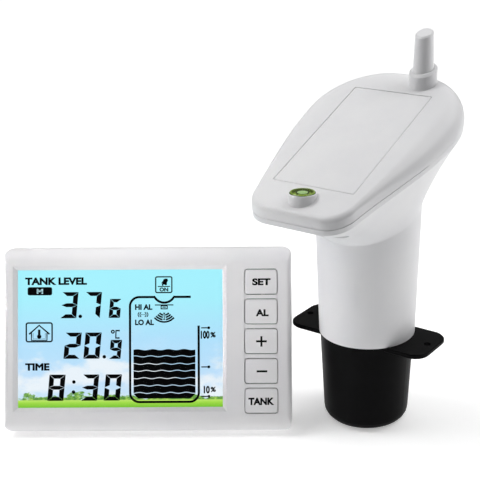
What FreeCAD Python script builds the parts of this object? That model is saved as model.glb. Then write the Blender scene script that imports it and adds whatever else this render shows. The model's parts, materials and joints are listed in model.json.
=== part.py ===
import FreeCAD, Part
import math
import os
from FreeCAD import Placement, Rotation, Vector

os.makedirs("parts", exist_ok=True)

# Ultrasonic tank level monitor: a radio sensor that stands on a tank, and a desk console.
# Sizes are in millimetres and angles in degrees. Z is up, the floor is at zero and the console faces -Y.

# Where the two units stand
sensor_x = 64.964
sensor_y = 9.67
sensor_turn = 33.23
units_gap = 0.5
console_setback = 26.15

# Fits that several pieces share
slip = 0.15
touch = 0.05
screw_hole_play = 0.4

# Mounting base of the sensor
base_height = 45.5
ear_thickness = 2.2
ear_width = 28.8
ear_corner = 7.5
ear_edge = 0.5
ear_screw_pitch = 65.0
ear_end_margin = 4.5
ear_screw_hole = 3.5
skirt_top_radius = 22.5
skirt_bottom_radius = 20.6
skirt_edge_round = 5.5
skirt_edge_angles = (0.0, 18.0, 36.0, 54.0, 72.0, 90.0)
mouth_radius = 11.0
mouth_flare = 2.0
base_floor = 3.0
base_wall = 2.4
spigot_length = 12.0

# Transducer in the base
transducer_radius = 12.5
transducer_height = 14.0
transducer_edge = 0.6
sleeve_height = 12.0

# Tube and flare of the sensor body
body_wall = 2.2
tube_bottom_radius = 23.0
tube_top_radius = 24.6
flare_start_height = 106.0
flare_start_tilt = 22.0
flare_pull_start = (0.0, 0.12)
flare_pull_end = (0.72, 0.80)
lip_depth = 2.3
lip_draft = 0.25
lip_floor = 1.4
spigot_step = 0.6
spigot_wall = 2.0
spigot_ring = 2.5

# Head outline in plan, measured from the tube's axis
head_front = 64.0
head_back = 42.0
head_front_half = 25.5
head_back_half = 39.0
head_front_corner = 12.4
head_back_corner = 34.1
head_front_splay = 11.9
head_back_splay = 1.9

# Sloping face of the head
face_setback = 13.3
face_height = 143.23
face_slope = 22.0
cover_front_depth = 5.1
cover_back_depth = 11.4
cover_wall = 2.2
edge_round_front = 2.1
edge_round_back = 9.9
inner_round_share = 0.45
seam_depth = 0.3
seam_height = 0.4
seal_width = 0.9
seal_depth = 0.8

# Battery door and bay in the face
door_width = 40.5
door_length = 73.8
door_corner = 1.0
door_thickness = 2.0
door_gap = 0.25
door_edge = 0.35
door_rib_height = 2.2
door_rib_wall = 1.2
bay_wall = 1.6
bay_shift = 2.0
bay_frame = 2.2
contact_room = 2.5
contact_thickness = 0.5
contact_side_share = 0.3
contact_cone_spread = 1.0
aa_radius = 7.25
aa_length = 50.5
aa_cap_radius = 2.75
aa_cap_height = 1.0
cell_play = 0.3

# Bubble level at the front of the face
level_front_margin = 9.2
level_rise = 2.8
pot_radius = 6.1
pot_wall = 0.5
vial_height = 5.5
vial_wall = 0.7
vial_dome = 0.6
vial_edge = 0.4
bubble_radius = 1.9
bubble_depth = 0.9

# Antenna at the back of the face
antenna_x = 10.75
antenna_y = 29.7
antenna_boss_radius = 6.5
antenna_boss_rise = 6.4
antenna_boss_chamfer = 0.9
antenna_base_radius = 5.1
antenna_top_radius = 4.1
antenna_length = 24.9
antenna_edge = 0.6
antenna_plug_radius = 3.4
antenna_plug_length = 8.0
antenna_plug_lap = 2.0
antenna_bore = 1.2
antenna_tip_wall = 6.0
antenna_rod_tail = 5.0

# Screws that hold the head together
head_screw_front = (14.5, -48.0)
head_screw_back = (24.0, 20.0)
head_post_radius = 3.7
head_boss_radius = 4.7
head_boss_web = 3.0
head_screw_radius = 1.45
head_screw_head = 2.8
head_screw_head_height = 2.0
head_screw_bite = 5.0
head_screw_access = 3.3

# Board in the tube
board_thickness = 1.6
sensor_board_width = 36.0
sensor_board_height = 54.0
sensor_board_y = 4.0
rail_height = 26.0
rail_grip = 2.0
rail_back = 1.0
rail_thickness = 1.2
rf_module_size = (15.0, 2.4, 20.0)
rf_board_thickness = 0.8
rf_can_margin = (2.5, 4.0)
transformer_size = (11.0, 9.0, 12.0)
transformer_flange = 3.0
transformer_winding = 3.8
transducer_lead_x = 3.0
battery_lead_x = 5.0
wire_radius = 0.55
antenna_wire_drop = 7.0
antenna_wire_bend = 7.0
wire_lap = 6.0

# Console outside
console_width = 136.0
console_height = 88.1
console_depth = 25.0
console_lean = 21.5
front_depth = 10.0
console_wall = 2.0
console_corner = 4.0
face_roll = 8.0
face_side_round = 2.0
rear_edge_round = 4.0

# Console display
lcd_left_margin = 6.25
lcd_right_margin = 32.45
lcd_foot_margin = 12.0
lcd_head_margin = 10.8
window_bevel = 2.0
window_bevel_depth = 1.2
window_margin = 1.9
window_thickness = 1.2
lcd_thickness = 2.2
backlight_thickness = 3.0
backlight_inset = 1.6
frame_rib = 1.2
strip_width = 2.0
strip_gap = 0.4

# Console keys
key_names = ("set_key", "alarm_key", "plus_key", "minus_key", "tank_key")
key_side_margin = 14.1
key_foot_margin = 9.23
key_head_margin = 11.03
key_spacing = 2.46
key_width = 15.4
key_corner = 1.3
key_edge = 0.4
key_gap = 0.35
key_flange = 0.9
key_flange_thickness = 1.0
key_stem = 5.0
key_travel = 0.8
switch_size = 6.0
switch_height = 1.6

# Console board and what it carries
console_board_margin = 2.0
buzzer_radius = 6.0
buzzer_height = 5.4
buzzer_side_margin = 22.0
buzzer_drop = 27.0
coil_radius = 2.4
coil_length = 26.0
coil_side_margin = 30.0
coil_drop = 11.0
chip_size = 15.0
chip_height = 1.8
chip_drop = 23.0

# Console screws
console_screw_inset_x = 6.0
console_screw_inset_z = 4.6
console_post_radius = 2.8
console_boss_length = 3.0
console_screw_radius = 1.3
console_screw_head = 2.5
console_screw_head_height = 1.8
console_screw_access = 2.9
console_screw_bite = 5.5

# Console battery bay and door
aaa_radius = 5.25
aaa_length = 44.5
aaa_cap_radius = 1.9
aaa_cap_height = 0.8
aaa_count = 3
rear_bay_side_margin = 22.5
rear_bay_lift = 4.5
rear_bay_wall = 1.4
rear_bay_floor = 1.2
rear_door_thickness = 1.8
rear_door_ledge = 1.6
rear_door_corner = 2.0
rear_door_grips = 4
rear_door_grip_width = 14.0
rear_door_grip_pitch = 2.4
rear_door_grip_radius = 0.5

# Console stand
stand_width = 48.0
stand_length = 46.0
stand_hinge_z = 53.0
stand_thickness = 3.2
stand_notch_radius = 7.0
stand_barrel_radius = 2.2
stand_pin_radius = 1.5
stand_pin_length = 1.6
stand_pin_play = 0.05
stand_gap = 0.5
stand_recess_wall = 1.6

# Hanging hole in the back of the console
hook_drop = 15.0
hook_hole_radius = 4.0
hook_slot_radius = 2.0
hook_slot_length = 6.0

# Lengths that reach past anything they cut
far = 300.0
spare = 1.0
face_angle = math.radians(face_slope)
lean_angle = math.radians(console_lean)
turn_angle = math.radians(sensor_turn)

sensor_place = Placement(Vector(sensor_x, sensor_y, 0), Rotation(Vector(0, 0, 1), -sensor_turn))
face_place = Placement(Vector(0, -face_setback, face_height), Rotation(Vector(1, 0, 0), face_slope))


def box(x0, x1, y0, y1, z0, z1):
    return Part.makeBox(x1 - x0, y1 - y0, z1 - z0, Vector(x0, y0, z0))


def upright(radius, z0, z1, x=0.0, y=0.0):
    return Part.makeCylinder(radius, z1 - z0, Vector(x, y, z0))


def along_y(radius, y0, y1, x, z):
    return Part.makeCylinder(radius, y1 - y0, Vector(x, y0, z), Vector(0, 1, 0))


def along_x(radius, x0, x1, y, z):
    return Part.makeCylinder(radius, x1 - x0, Vector(x0, y, z), Vector(1, 0, 0))


def polygon(points):
    return Part.Face(Part.makePolygon(list(points) + [points[0]]))


def turned(profile):
    # Solid of revolution about Z from (radius, height) corners
    return polygon([Vector(r, 0, z) for r, z in profile]).revolve(Vector(), Vector(0, 0, 1), 360)


def round_plate(width, length, thickness, corner):
    # Plate with rounded corners, centred on the origin, from zero up
    plate = box(-width / 2, width / 2, -length / 2, length / 2, 0, thickness)
    uprights = [e for e in plate.Edges if abs(e.tangentAt(e.FirstParameter).z) > 0.5]
    return plate.makeFillet(corner, uprights)


def edges_at(shape, axis, value):
    # Edges that lie wholly at one value of an axis, 0 to 2 for X to Z
    return [e for e in shape.Edges if all(abs(v.Point[axis] - value) < 1e-4 for v in e.Vertexes)
            and abs(e.CenterOfMass[axis] - value) < 1e-4]


def ellipses(shape):
    return [e for e in shape.Edges if isinstance(e.Curve, Part.Ellipse)]


def fused(shapes):
    return shapes[0].multiFuse(shapes[1:]).removeSplitter()


def placed(shape, place):
    moved = shape.copy()
    moved.Placement = place.multiply(moved.Placement)
    return moved


def save(name, shape, place):
    placed(shape, place).exportStep("parts/" + name + ".step")
    print(name, round(shape.Volume, 1), len(shape.Solids), shape.isValid())


def save_sensor(name, shape):
    save(name, shape, sensor_place)


def corner_arc(before, corner, after, radius):
    # Tangent arc at a corner: where it starts, its crown and where it ends
    back = (before - corner).normalize()
    ahead = (after - corner).normalize()
    half_turn = (math.pi - back.getAngle(ahead)) / 2
    reach = radius * math.tan(half_turn)
    crown = corner + (back + ahead).normalize() * (radius / math.cos(half_turn) - radius)
    return corner + back * reach, crown, corner + ahead * reach


def wire_solid(points, bend):
    # Round wire along straight runs joined by arcs of one radius
    edges = []
    start = points[0]
    for before, corner, after in zip(points, points[1:], points[2:]):
        first, crown, last = corner_arc(before, corner, after, bend)
        edges.append(Part.LineSegment(start, first).toShape())
        edges.append(Part.Arc(first, crown, last).toShape())
        start = last
    edges.append(Part.LineSegment(start, points[-1]).toShape())
    section = Part.Wire(Part.makeCircle(wire_radius, points[0], points[1] - points[0]))
    return Part.Wire(edges).makePipeShell([section], True, False)


def rounded_face(corners):
    # Flat face through (point, radius) corners, each rounded by a tangent arc
    points = [point for point, radius in corners]
    edges = []
    ends = []
    for i, (point, radius) in enumerate(corners):
        if radius > 0:
            first, crown, last = corner_arc(points[i - 1], point, points[(i + 1) % len(points)], radius)
            edges.append(Part.Arc(first, crown, last).toShape())
            ends.append((first, last))
        else:
            ends.append((point, point))
    for i, (first, last) in enumerate(ends):
        edges.append(Part.LineSegment(last, ends[(i + 1) % len(ends)][0]).toShape())
    return Part.Face(Part.Wire(Part.__sortEdges__(edges)))


# Head outline: straight ends, bowed sides and corner arcs, each a cubic curve with four poles
front_splay = math.radians(head_front_splay)
back_splay = math.radians(head_back_splay)


def line_poles(start, end):
    return [start + (end - start) * (i / 3) for i in range(4)]


def side_poles(start, end):
    # Bowed side, its middle poles on the tangents of the corners that it joins
    reach = (end - start).Length / 3
    leave = Vector(math.sin(front_splay), math.cos(front_splay), 0)
    arrive = Vector(math.sin(back_splay), math.cos(back_splay), 0)
    return [start, start + leave * reach, end - arrive * reach, end]


def arc_poles(first, last):
    # Arc of radius one about the origin, its middle poles on the tangents at its ends
    pull = 4 / 3 * math.tan((last - first) / 4)
    start = Vector(math.cos(first), math.sin(first), 0)
    end = Vector(math.cos(last), math.sin(last), 0)
    return [start, start + Vector(-start.y, start.x, 0) * pull, end - Vector(-end.y, end.x, 0) * pull, end]


def mirrored(poles):
    return [Vector(-v.x, v.y, 0) for v in reversed(poles)]


def head_rim():
    # Runs anticlockwise from the front: poles, outward normals and how far each is to the back's rounding
    front_turn = arc_poles(-math.pi / 2, -front_splay)
    back_turn = arc_poles(-back_splay, math.pi / 2)
    front_centre = Vector(head_front_half - head_front_corner, head_front_corner - head_front, 0)
    back_centre = Vector(head_back_half - head_back_corner, head_back - head_back_corner, 0)
    front_corner = [front_centre + normal * head_front_corner for normal in front_turn]
    back_corner = [back_centre + normal * head_back_corner for normal in back_turn]
    side = side_poles(front_corner[-1], back_corner[0])
    side_turn = [front_turn[-1], front_turn[-1], back_turn[0], back_turn[0]]
    all_front = (0.0, 0.0, 0.0, 0.0)
    all_back = (1.0, 1.0, 1.0, 1.0)
    right = [(front_corner, front_turn, all_front), (side, side_turn, (0.0, 0.0, 1.0, 1.0)),
             (back_corner, back_turn, all_back)]
    left = [(mirrored(poles), mirrored(normals), shares[::-1]) for poles, normals, shares in reversed(right)]
    front = (line_poles(left[-1][0][-1], front_corner[0]), [front_turn[0]] * 4, all_front)
    back = (line_poles(back_corner[-1], left[0][0][0]), [back_turn[-1]] * 4, all_back)
    return [front] + right + [back] + left


def curve_edge(poles):
    curve = Part.BezierCurve()
    curve.setPoles(poles)
    return curve.toShape()


rim = head_rim()


def rim_ring():
    # The same runs round a circle of radius one, each as long in proportion
    lengths = [curve_edge(poles).Length for poles, normals, shares in rim]
    radians = 2 * math.pi / sum(lengths)
    angle = -math.pi / 2 - lengths[0] * radians / 2
    runs = []
    for length in lengths:
        runs.append(arc_poles(angle, angle + length * radians))
        angle += length * radians
    return runs


unit_ring = rim_ring()


def face_z(y):
    return face_height + (y + face_setback) * math.tan(face_angle)


level_y = level_front_margin - head_front
level_top = face_z(level_y) + level_rise
cover_front_z = face_z(-head_front) - cover_front_depth
cover_back_z = face_z(head_back) - cover_back_depth
parting_rise = (cover_back_z - cover_front_z) / (head_front + head_back)


def parting_z(y):
    return cover_front_z + (y + head_front) * parting_rise


def rim_section(inset_at, height_at):
    # Poles all round the head at an inset and a height, given the rounding of the top edge there
    section = []
    for poles, normals, shares in rim:
        run = []
        for pole, normal, share in zip(poles, normals, shares):
            rounding = edge_round_front + (edge_round_back - edge_round_front) * share
            inside = pole - normal * inset_at(rounding)
            run.append(Vector(inside.x, inside.y, height_at(inside.y, rounding)))
        section.append(run)
    return section


def parting_section(inset, rise):
    return rim_section(lambda rounding: inset, lambda y, rounding: parting_z(y) + rise)


def round_section(inset_share, drop_share):
    return rim_section(lambda rounding: rounding * inset_share,
                       lambda y, rounding: face_z(y) - rounding * drop_share)


def ring_section(radius, height_at):
    return [[Vector(v.x * radius, v.y * radius, height_at(v.y * radius)) for v in run] for run in unit_ring]


def wire(section):
    return Part.Wire([curve_edge(run) for run in section])


def skin(sections):
    # One patch for each run, with the sections as its rows of poles
    faces = []
    for rows in zip(*sections):
        patch = Part.BezierSurface()
        patch.increase(len(rows) - 1, len(rows[0]) - 1)
        for i, row in enumerate(rows):
            for j, pole in enumerate(row):
                patch.setPole(i + 1, j + 1, pole)
        faces.append(patch.toShape())
    return faces


def closed_solid(faces):
    joined = Part.Compound(faces)
    joined.sewShape()
    solid = Part.Solid(joined.Shells[0] if joined.Shells else Part.Shell(joined.Faces))
    if solid.Volume < 0:
        solid.reverse()
    return solid


def band(outer, inner):
    # Flat face between two sections
    return Part.Face([wire(outer), wire(inner).reversed()])


def ring_solid(outer_low, outer_high, inner_low, inner_high):
    faces = skin([outer_low, outer_high]) + skin([inner_low, inner_high])
    return closed_solid(faces + [band(outer_low, inner_low), band(outer_high, inner_high)])


def flare_start_z(y):
    return flare_start_height + y * math.tan(math.radians(flare_start_tilt))


def flare_sections(radius, rise, lip_inset, lip_drop):
    # From the tube, where the flare starts on a tilted ring, out to the lip of the head
    tube = ring_section(radius, lambda y: flare_start_z(y) + rise)
    lip = parting_section(lip_inset, -lip_drop)
    sections = []
    for out, up in ((0.0, 0.0), flare_pull_start, flare_pull_end, (1.0, 1.0)):
        share = Vector(out, out, up)
        sections.append([[a + (b - a).scale(*share) for a, b in zip(first, last)]
                         for first, last in zip(tube, lip)])
    return sections


def ring_at(radius, z):
    return ring_section(radius, lambda y: z)


def below_face(depth):
    return placed(box(-far, far, -far, far, -far, -depth), face_place)


def above_face(rise):
    return placed(box(-far, far, -far, far, rise, far), face_place)


# Head screws: two in front and two behind, from below
head_screw_places = [(side * x, y) for x, y in (head_screw_front, head_screw_back) for side in (-1, 1)]


def head_joint_z(y):
    return parting_z(y) - lip_depth / 2


# Tank sensor pieces
ear_reach = ear_screw_pitch / 2 + ear_end_margin
spigot_radius = tube_bottom_radius - body_wall - spigot_step
chamber_radius = skirt_bottom_radius - base_wall - touch
spigot_bottom = base_height - spigot_length
sensor_board_z = base_height + spigot_ring + slip


def mounting_base():
    straight_bottom = skirt_bottom_radius - skirt_edge_round
    edge = [(straight_bottom + skirt_edge_round * math.sin(a), skirt_edge_round * (1 - math.cos(a)))
            for a in map(math.radians, skirt_edge_angles)]
    skirt = turned([(0, 0)] + edge + [(skirt_top_radius, base_height), (0, base_height)])
    ears = round_plate(2 * ear_reach, ear_width, ear_thickness, ear_corner)
    ears = ears.makeChamfer(ear_edge, edges_at(ears, 2, 0.0) + edges_at(ears, 2, ear_thickness))
    ears.translate(Vector(0, 0, base_height - ear_thickness))
    body = skirt.fuse(ears)
    bore = turned([(0, base_height + spare), (spigot_radius + slip, base_height + spare),
                   (spigot_radius + slip, spigot_bottom - slip), (chamber_radius, spigot_bottom - slip),
                   (chamber_radius, base_floor), (mouth_radius, base_floor),
                   (mouth_radius + mouth_flare, 0), (mouth_radius + mouth_flare, -spare), (0, -spare)])
    holes = [upright(ear_screw_hole / 2, 0, base_height + spare, side * ear_screw_pitch / 2)
             for side in (-1, 1)]
    return body.cut(bore).cut(Part.Compound(holes)).removeSplitter()


def transducer():
    can = upright(transducer_radius, base_floor, base_floor + transducer_height)
    return can.makeChamfer(transducer_edge, edges_at(can, 2, base_floor + transducer_height))


def transducer_sleeve():
    ring = upright(chamber_radius - touch, base_floor, base_floor + sleeve_height)
    return ring.cut(upright(transducer_radius, 0, base_height))


def body_envelope():
    tube_ring = ring_at(tube_bottom_radius, base_height)
    flare = flare_sections(tube_top_radius, 0.0, lip_draft, lip_depth)
    top = parting_section(0.0, 0.0)
    faces = [Part.Face(wire(tube_ring)), Part.Face(wire(top))]
    return closed_solid(faces + skin([tube_ring, flare[0]]) + skin(flare) + skin([flare[-1], top]))


def body_shell():
    tube_out = ring_at(tube_bottom_radius, base_height)
    tube_in = ring_at(tube_bottom_radius - body_wall, base_height)
    flare_out = flare_sections(tube_top_radius, 0.0, lip_draft, lip_depth)
    flare_in = flare_sections(tube_top_radius - body_wall, lip_floor, lip_draft + body_wall,
                              lip_depth - lip_floor)
    top_out = parting_section(0.0, 0.0)
    top_in = parting_section(lip_draft + body_wall, 0.0)
    faces = [band(tube_out, tube_in), band(top_out, top_in)]
    for tube, flare, top in ((tube_out, flare_out, top_out), (tube_in, flare_in, top_in)):
        faces += skin([tube, flare[0]]) + skin(flare) + skin([flare[-1], top])
    return closed_solid(faces)


def seal_ring(clear):
    outer = (body_wall + lip_draft - seal_width) / 2 - clear
    inner = (body_wall + lip_draft + seal_width) / 2 + clear
    bottom = seal_depth + clear
    return ring_solid(parting_section(outer, -bottom), parting_section(outer, 0.0),
                      parting_section(inner, -bottom), parting_section(inner, 0.0))


def sensor_body():
    envelope = body_envelope()
    shell = body_shell().cut(seal_ring(touch))
    ring = turned([(spigot_radius - spigot_wall, spigot_bottom), (spigot_radius, spigot_bottom),
                   (spigot_radius, base_height), (tube_bottom_radius - body_wall / 2, base_height),
                   (tube_bottom_radius - body_wall / 2, base_height + spigot_ring),
                   (spigot_radius - spigot_wall, base_height + spigot_ring)])
    extras = [ring]
    for side in (-1, 1):
        inner = side * (sensor_board_width / 2 - rail_grip)
        outer = side * (sensor_board_width / 2 + rail_back)
        for face in (-1, 1):
            gap = face * (board_thickness / 2 + slip)
            edge = gap + face * rail_thickness
            extras.append(box(min(inner, outer), max(inner, outer), sensor_board_y + min(gap, edge),
                              sensor_board_y + max(gap, edge), base_height,
                              base_height + spigot_ring + rail_height))
    cuts = []
    for x, y in head_screw_places:
        joint = head_joint_z(y)
        extras.append(upright(head_boss_radius, base_height, joint, x, y).common(envelope))
        cuts.append(upright(head_screw_access, 0, joint - head_boss_web, x, y))
        cuts.append(upright(head_screw_radius + screw_hole_play, 0, joint + spare, x, y))
    return fused([shell] + extras).cut(Part.Compound(cuts)).removeSplitter()


def cover_shell():
    # The wall stands on a set-back foot, which leaves a fine groove along the parting line
    foot_low = parting_section(seam_depth, 0.0)
    foot_high = parting_section(seam_depth, seam_height)
    wall_low = parting_section(0.0, seam_height)
    pull = 4 / 3 * math.tan(math.pi / 8)
    rounds = [round_section(inset, drop) for inset, drop in ((0, 1), (0, 1 - pull), (1 - pull, 0), (1, 0))]
    inner_low = parting_section(cover_wall, 0.0)
    ceiling = cover_wall / math.cos(face_angle)
    inner_high = rim_section(lambda rounding: cover_wall + rounding * inner_round_share,
                             lambda y, rounding: face_z(y) - ceiling)
    faces = skin([foot_low, foot_high]) + skin([wall_low, rounds[0]]) + skin(rounds)
    faces += skin([inner_low, inner_high]) + [Part.Face(wire(rounds[-1])), Part.Face(wire(inner_high))]
    faces += [band(foot_low, inner_low), band(wall_low, foot_high)]
    return closed_solid(faces)


bay_width = 4 * aa_radius + 3 * cell_play
bay_length = aa_length + 2 * contact_room
bay_floor_depth = door_thickness + 2 * cell_play + 2 * aa_radius
bay_total_depth = bay_floor_depth + bay_wall


def head_cover():
    shell = cover_shell()
    frame = round_plate(door_width + 2 * bay_frame, door_length + 2 * bay_frame,
                        door_thickness + bay_wall - cover_wall / 2, door_corner)
    frame.translate(Vector(0, 0, -door_thickness - bay_wall))
    bay = box(-bay_width / 2 - bay_wall, bay_width / 2 + bay_wall,
              bay_shift - bay_length / 2 - bay_wall, bay_shift + bay_length / 2 + bay_wall,
              -bay_total_depth, -cover_wall / 2)
    rebate = round_plate(door_width, door_length, far, door_corner)
    rebate.translate(Vector(0, 0, -door_thickness))
    cavity = box(-bay_width / 2, bay_width / 2, bay_shift - bay_length / 2, bay_shift + bay_length / 2,
                 -bay_floor_depth, far)
    pot_bottom = face_z(level_y) - 2 * cover_wall
    pot = upright(pot_radius, pot_bottom, level_top - vial_edge, 0, level_y)
    boss = upright(antenna_boss_radius, antenna_foot, antenna_top, antenna_x, antenna_y)
    boss = boss.cut(above_face(antenna_boss_rise))
    boss = boss.makeChamfer(antenna_boss_chamfer, ellipses(boss))
    posts = [upright(head_post_radius, head_joint_z(y), far, x, y).common(below_face(cover_wall / 2))
             for x, y in head_screw_places]
    cover = fused([shell, placed(frame, face_place), placed(bay, face_place), pot, boss] + posts)
    vial_seat = upright(pot_radius - pot_wall, level_top - vial_height - touch, antenna_top, 0, level_y)
    socket = upright(antenna_plug_radius + slip, 0, antenna_top, antenna_x, antenna_y)
    pilots = []
    for x, y in head_screw_places:
        joint = head_joint_z(y)
        pilots.append(upright(head_screw_radius + touch, joint - spare, joint + head_screw_bite + slip, x, y))
    cuts = [placed(rebate, face_place), placed(cavity, face_place), vial_seat, socket] + pilots
    return cover.cut(Part.Compound(cuts)).removeSplitter()


def head_screws():
    screws = []
    for x, y in head_screw_places:
        seat = head_joint_z(y) - head_boss_web
        shank = upright(head_screw_radius, seat - spare, head_joint_z(y) + head_screw_bite, x, y)
        screws.append(shank.fuse(upright(head_screw_head, seat - head_screw_head_height, seat, x, y)))
    return Part.Compound(screws)


def sensor_battery_door():
    plate = round_plate(door_width - 2 * door_gap, door_length - 2 * door_gap, door_thickness - touch,
                        door_corner - door_gap)
    plate.translate(Vector(0, 0, touch - door_thickness))
    plate = plate.makeFillet(door_edge, edges_at(plate, 2, 0.0))
    rib_half = bay_width / 2 - slip
    rib_length = bay_length / 2 - slip
    rib = box(-rib_half, rib_half, bay_shift - rib_length, bay_shift - rib_length + door_rib_wall,
              -door_thickness - door_rib_height, touch - door_thickness + door_edge)
    ribs = [rib, placed(rib, Placement(Vector(0, 2 * rib_length - door_rib_wall, 0), Rotation()))]
    return fused([plate] + ribs)


def cell(radius, length, cap_radius, cap_height):
    can = upright(radius, 0, length - cap_height)
    can = can.makeChamfer(cap_height / 2, edges_at(can, 2, length - cap_height))
    return can.fuse(upright(cap_radius, length - cap_height - touch, length))


def sensor_cell_places():
    depth = -door_thickness - cell_play - aa_radius
    for index, side in enumerate((-1, 1)):
        u = side * (aa_radius + cell_play / 2)
        first = bay_shift - aa_length / 2
        if index:
            yield Placement(Vector(u, first, depth), Rotation(Vector(1, 0, 0), -90))
        else:
            yield Placement(Vector(u, first + aa_length, depth), Rotation(Vector(1, 0, 0), 90))


def sensor_cells():
    one = cell(aa_radius, aa_length, aa_cap_radius, aa_cap_height)
    return Part.Compound([placed(placed(one, place), face_place) for place in sensor_cell_places()])


def contact_plate(u, width, end, direction, depth):
    # Plate against one end of the bay
    plate_ends = sorted((end, end + direction * contact_thickness))
    return box(u - width / 2, u + width / 2, plate_ends[0], plate_ends[1],
               depth - aa_radius, depth + aa_radius / 2)


def contact_cone(u, end, direction, depth):
    # Sprung cone from the plate to the cell
    reach = contact_room - contact_thickness - 2 * touch
    return Part.makeCone(aa_cap_radius + contact_cone_spread, aa_cap_radius - contact_cone_spread, reach,
                         Vector(u, end + direction * contact_thickness, depth), Vector(0, direction, 0))


def sensor_contacts():
    depth = -door_thickness - cell_play - aa_radius
    low_end = bay_shift - bay_length / 2 + touch
    high_end = bay_shift + bay_length / 2 - touch
    offset = aa_radius + cell_play / 2
    tab_width = 2 * aa_radius * (1 - contact_side_share)
    cones = [contact_cone(side * offset, low_end, 1, depth) for side in (-1, 1)]
    bridge = fused([contact_plate(0, 2 * offset + tab_width, low_end, 1, depth)] + cones)
    tabs = []
    for side in (-1, 1):
        plate = contact_plate(side * offset, tab_width, high_end, -1, depth)
        tabs.append(plate.fuse(contact_cone(side * offset, high_end, -1, depth)))
    return placed(bridge, face_place), placed(Part.Compound(tabs), face_place)


def sensor_board():
    return box(-sensor_board_width / 2, sensor_board_width / 2, sensor_board_y - board_thickness / 2,
               sensor_board_y + board_thickness / 2, sensor_board_z, sensor_board_z + sensor_board_height)


board_back_y = sensor_board_y + board_thickness / 2
board_front_y = sensor_board_y - board_thickness / 2
board_top_z = sensor_board_z + sensor_board_height


def rf_module():
    width, depth, height = rf_module_size
    margin_x, margin_z = rf_can_margin
    top = board_top_z - wire_lap - spare
    can_back = board_back_y + rf_board_thickness
    board = box(-width / 2, width / 2, board_back_y, can_back, top - height, top)
    can = box(margin_x - width / 2, width / 2 - margin_x, can_back, board_back_y + depth,
              top - height + margin_z, top - margin_z)
    return board.fuse(can).removeSplitter()


def pulse_transformer():
    width, depth, height = transformer_size
    bottom = sensor_board_z + height
    top = bottom + height
    front = board_front_y - depth
    low = box(-width / 2, width / 2, front, board_front_y, bottom, bottom + transformer_flange)
    high = box(-width / 2, width / 2, front, board_front_y, top - transformer_flange, top)
    winding = upright(transformer_winding, bottom + transformer_flange, top - transformer_flange,
                      0, board_front_y - depth / 2)
    return fused([low, winding, high])


def transducer_leads():
    y = board_back_y + wire_radius + touch
    top = sensor_board_z + wire_lap
    return Part.Compound([upright(wire_radius, base_floor + transducer_height, top, x, y)
                          for x in (-transducer_lead_x, transducer_lead_x)])


def bay_underside_z(y):
    along = (y + face_setback - bay_total_depth * math.sin(face_angle)) / math.cos(face_angle)
    return face_height + along * math.sin(face_angle) - bay_total_depth * math.cos(face_angle)


def battery_leads():
    y = board_front_y - wire_radius - touch
    top = bay_underside_z(y - wire_radius) - touch
    return Part.Compound([upright(wire_radius, board_top_z - wire_lap, top, x, y)
                          for x in (-battery_lead_x, battery_lead_x)])


antenna_foot = face_z(antenna_y) - antenna_plug_length
antenna_top = face_z(antenna_y) + antenna_length
antenna_bore_top = antenna_top - antenna_tip_wall
antenna_rod_bottom = antenna_foot - antenna_rod_tail


def antenna_lead():
    # From the rod down to the board, midway between the battery bay and the edge where the flare starts
    y = board_back_y + wire_radius + touch
    start = Vector(antenna_x, antenna_y, antenna_rod_bottom - touch)
    throat_y = math.sqrt((tube_top_radius - body_wall) ** 2 - antenna_x ** 2)
    throat_z = (flare_start_z(throat_y) + lip_floor + bay_underside_z(throat_y)) / 2
    return wire_solid([start, start - Vector(0, 0, antenna_wire_drop),
                       Vector(antenna_x, throat_y, throat_z),
                       Vector(antenna_x, y, board_top_z + wire_lap),
                       Vector(antenna_x, y, board_top_z - wire_lap)], antenna_wire_bend)


def antenna_sleeve():
    taper = (antenna_base_radius - antenna_top_radius) / antenna_length
    stub = Part.makeCone(antenna_base_radius + taper * antenna_plug_length, antenna_top_radius,
                         antenna_top - antenna_foot, Vector(antenna_x, antenna_y, antenna_foot))
    tip = Placement(Vector(antenna_x, antenna_y, antenna_top - antenna_top_radius * math.tan(face_angle)),
                    Rotation(Vector(1, 0, 0), face_slope))
    stub = stub.cut(placed(box(-far, far, -far, far, 0, far), tip))
    stub = stub.makeChamfer(antenna_edge, ellipses(stub)).common(above_face(antenna_boss_rise))
    plug_top = face_z(antenna_y) + antenna_boss_rise + antenna_plug_lap
    plug = upright(antenna_plug_radius, antenna_foot, plug_top, antenna_x, antenna_y)
    bore = upright(antenna_bore, 0, antenna_bore_top, antenna_x, antenna_y)
    return stub.fuse(plug).removeSplitter().cut(bore)


def antenna_rod():
    return upright(antenna_bore - touch, antenna_rod_bottom, antenna_bore_top - touch, antenna_x, antenna_y)


def level_pieces():
    # The lid of the vial is hollowed towards its middle, where the bubble comes to rest
    bottom = level_top - vial_height
    radius = pot_radius - pot_wall - touch
    inner = radius - vial_wall
    outer = upright(radius, bottom, level_top, 0, level_y)
    outer = outer.makeChamfer(vial_edge, edges_at(outer, 2, level_top))
    ceiling = level_top - vial_wall
    cavity = turned([(0, bottom + vial_wall), (inner, bottom + vial_wall), (inner, ceiling - vial_dome),
                     (bubble_radius, ceiling), (0, ceiling)])
    cavity.translate(Vector(0, level_y, 0))
    bubble = upright(bubble_radius, ceiling - bubble_depth, level_top, 0, level_y)
    return outer.cut(cavity), cavity.cut(bubble)


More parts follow.
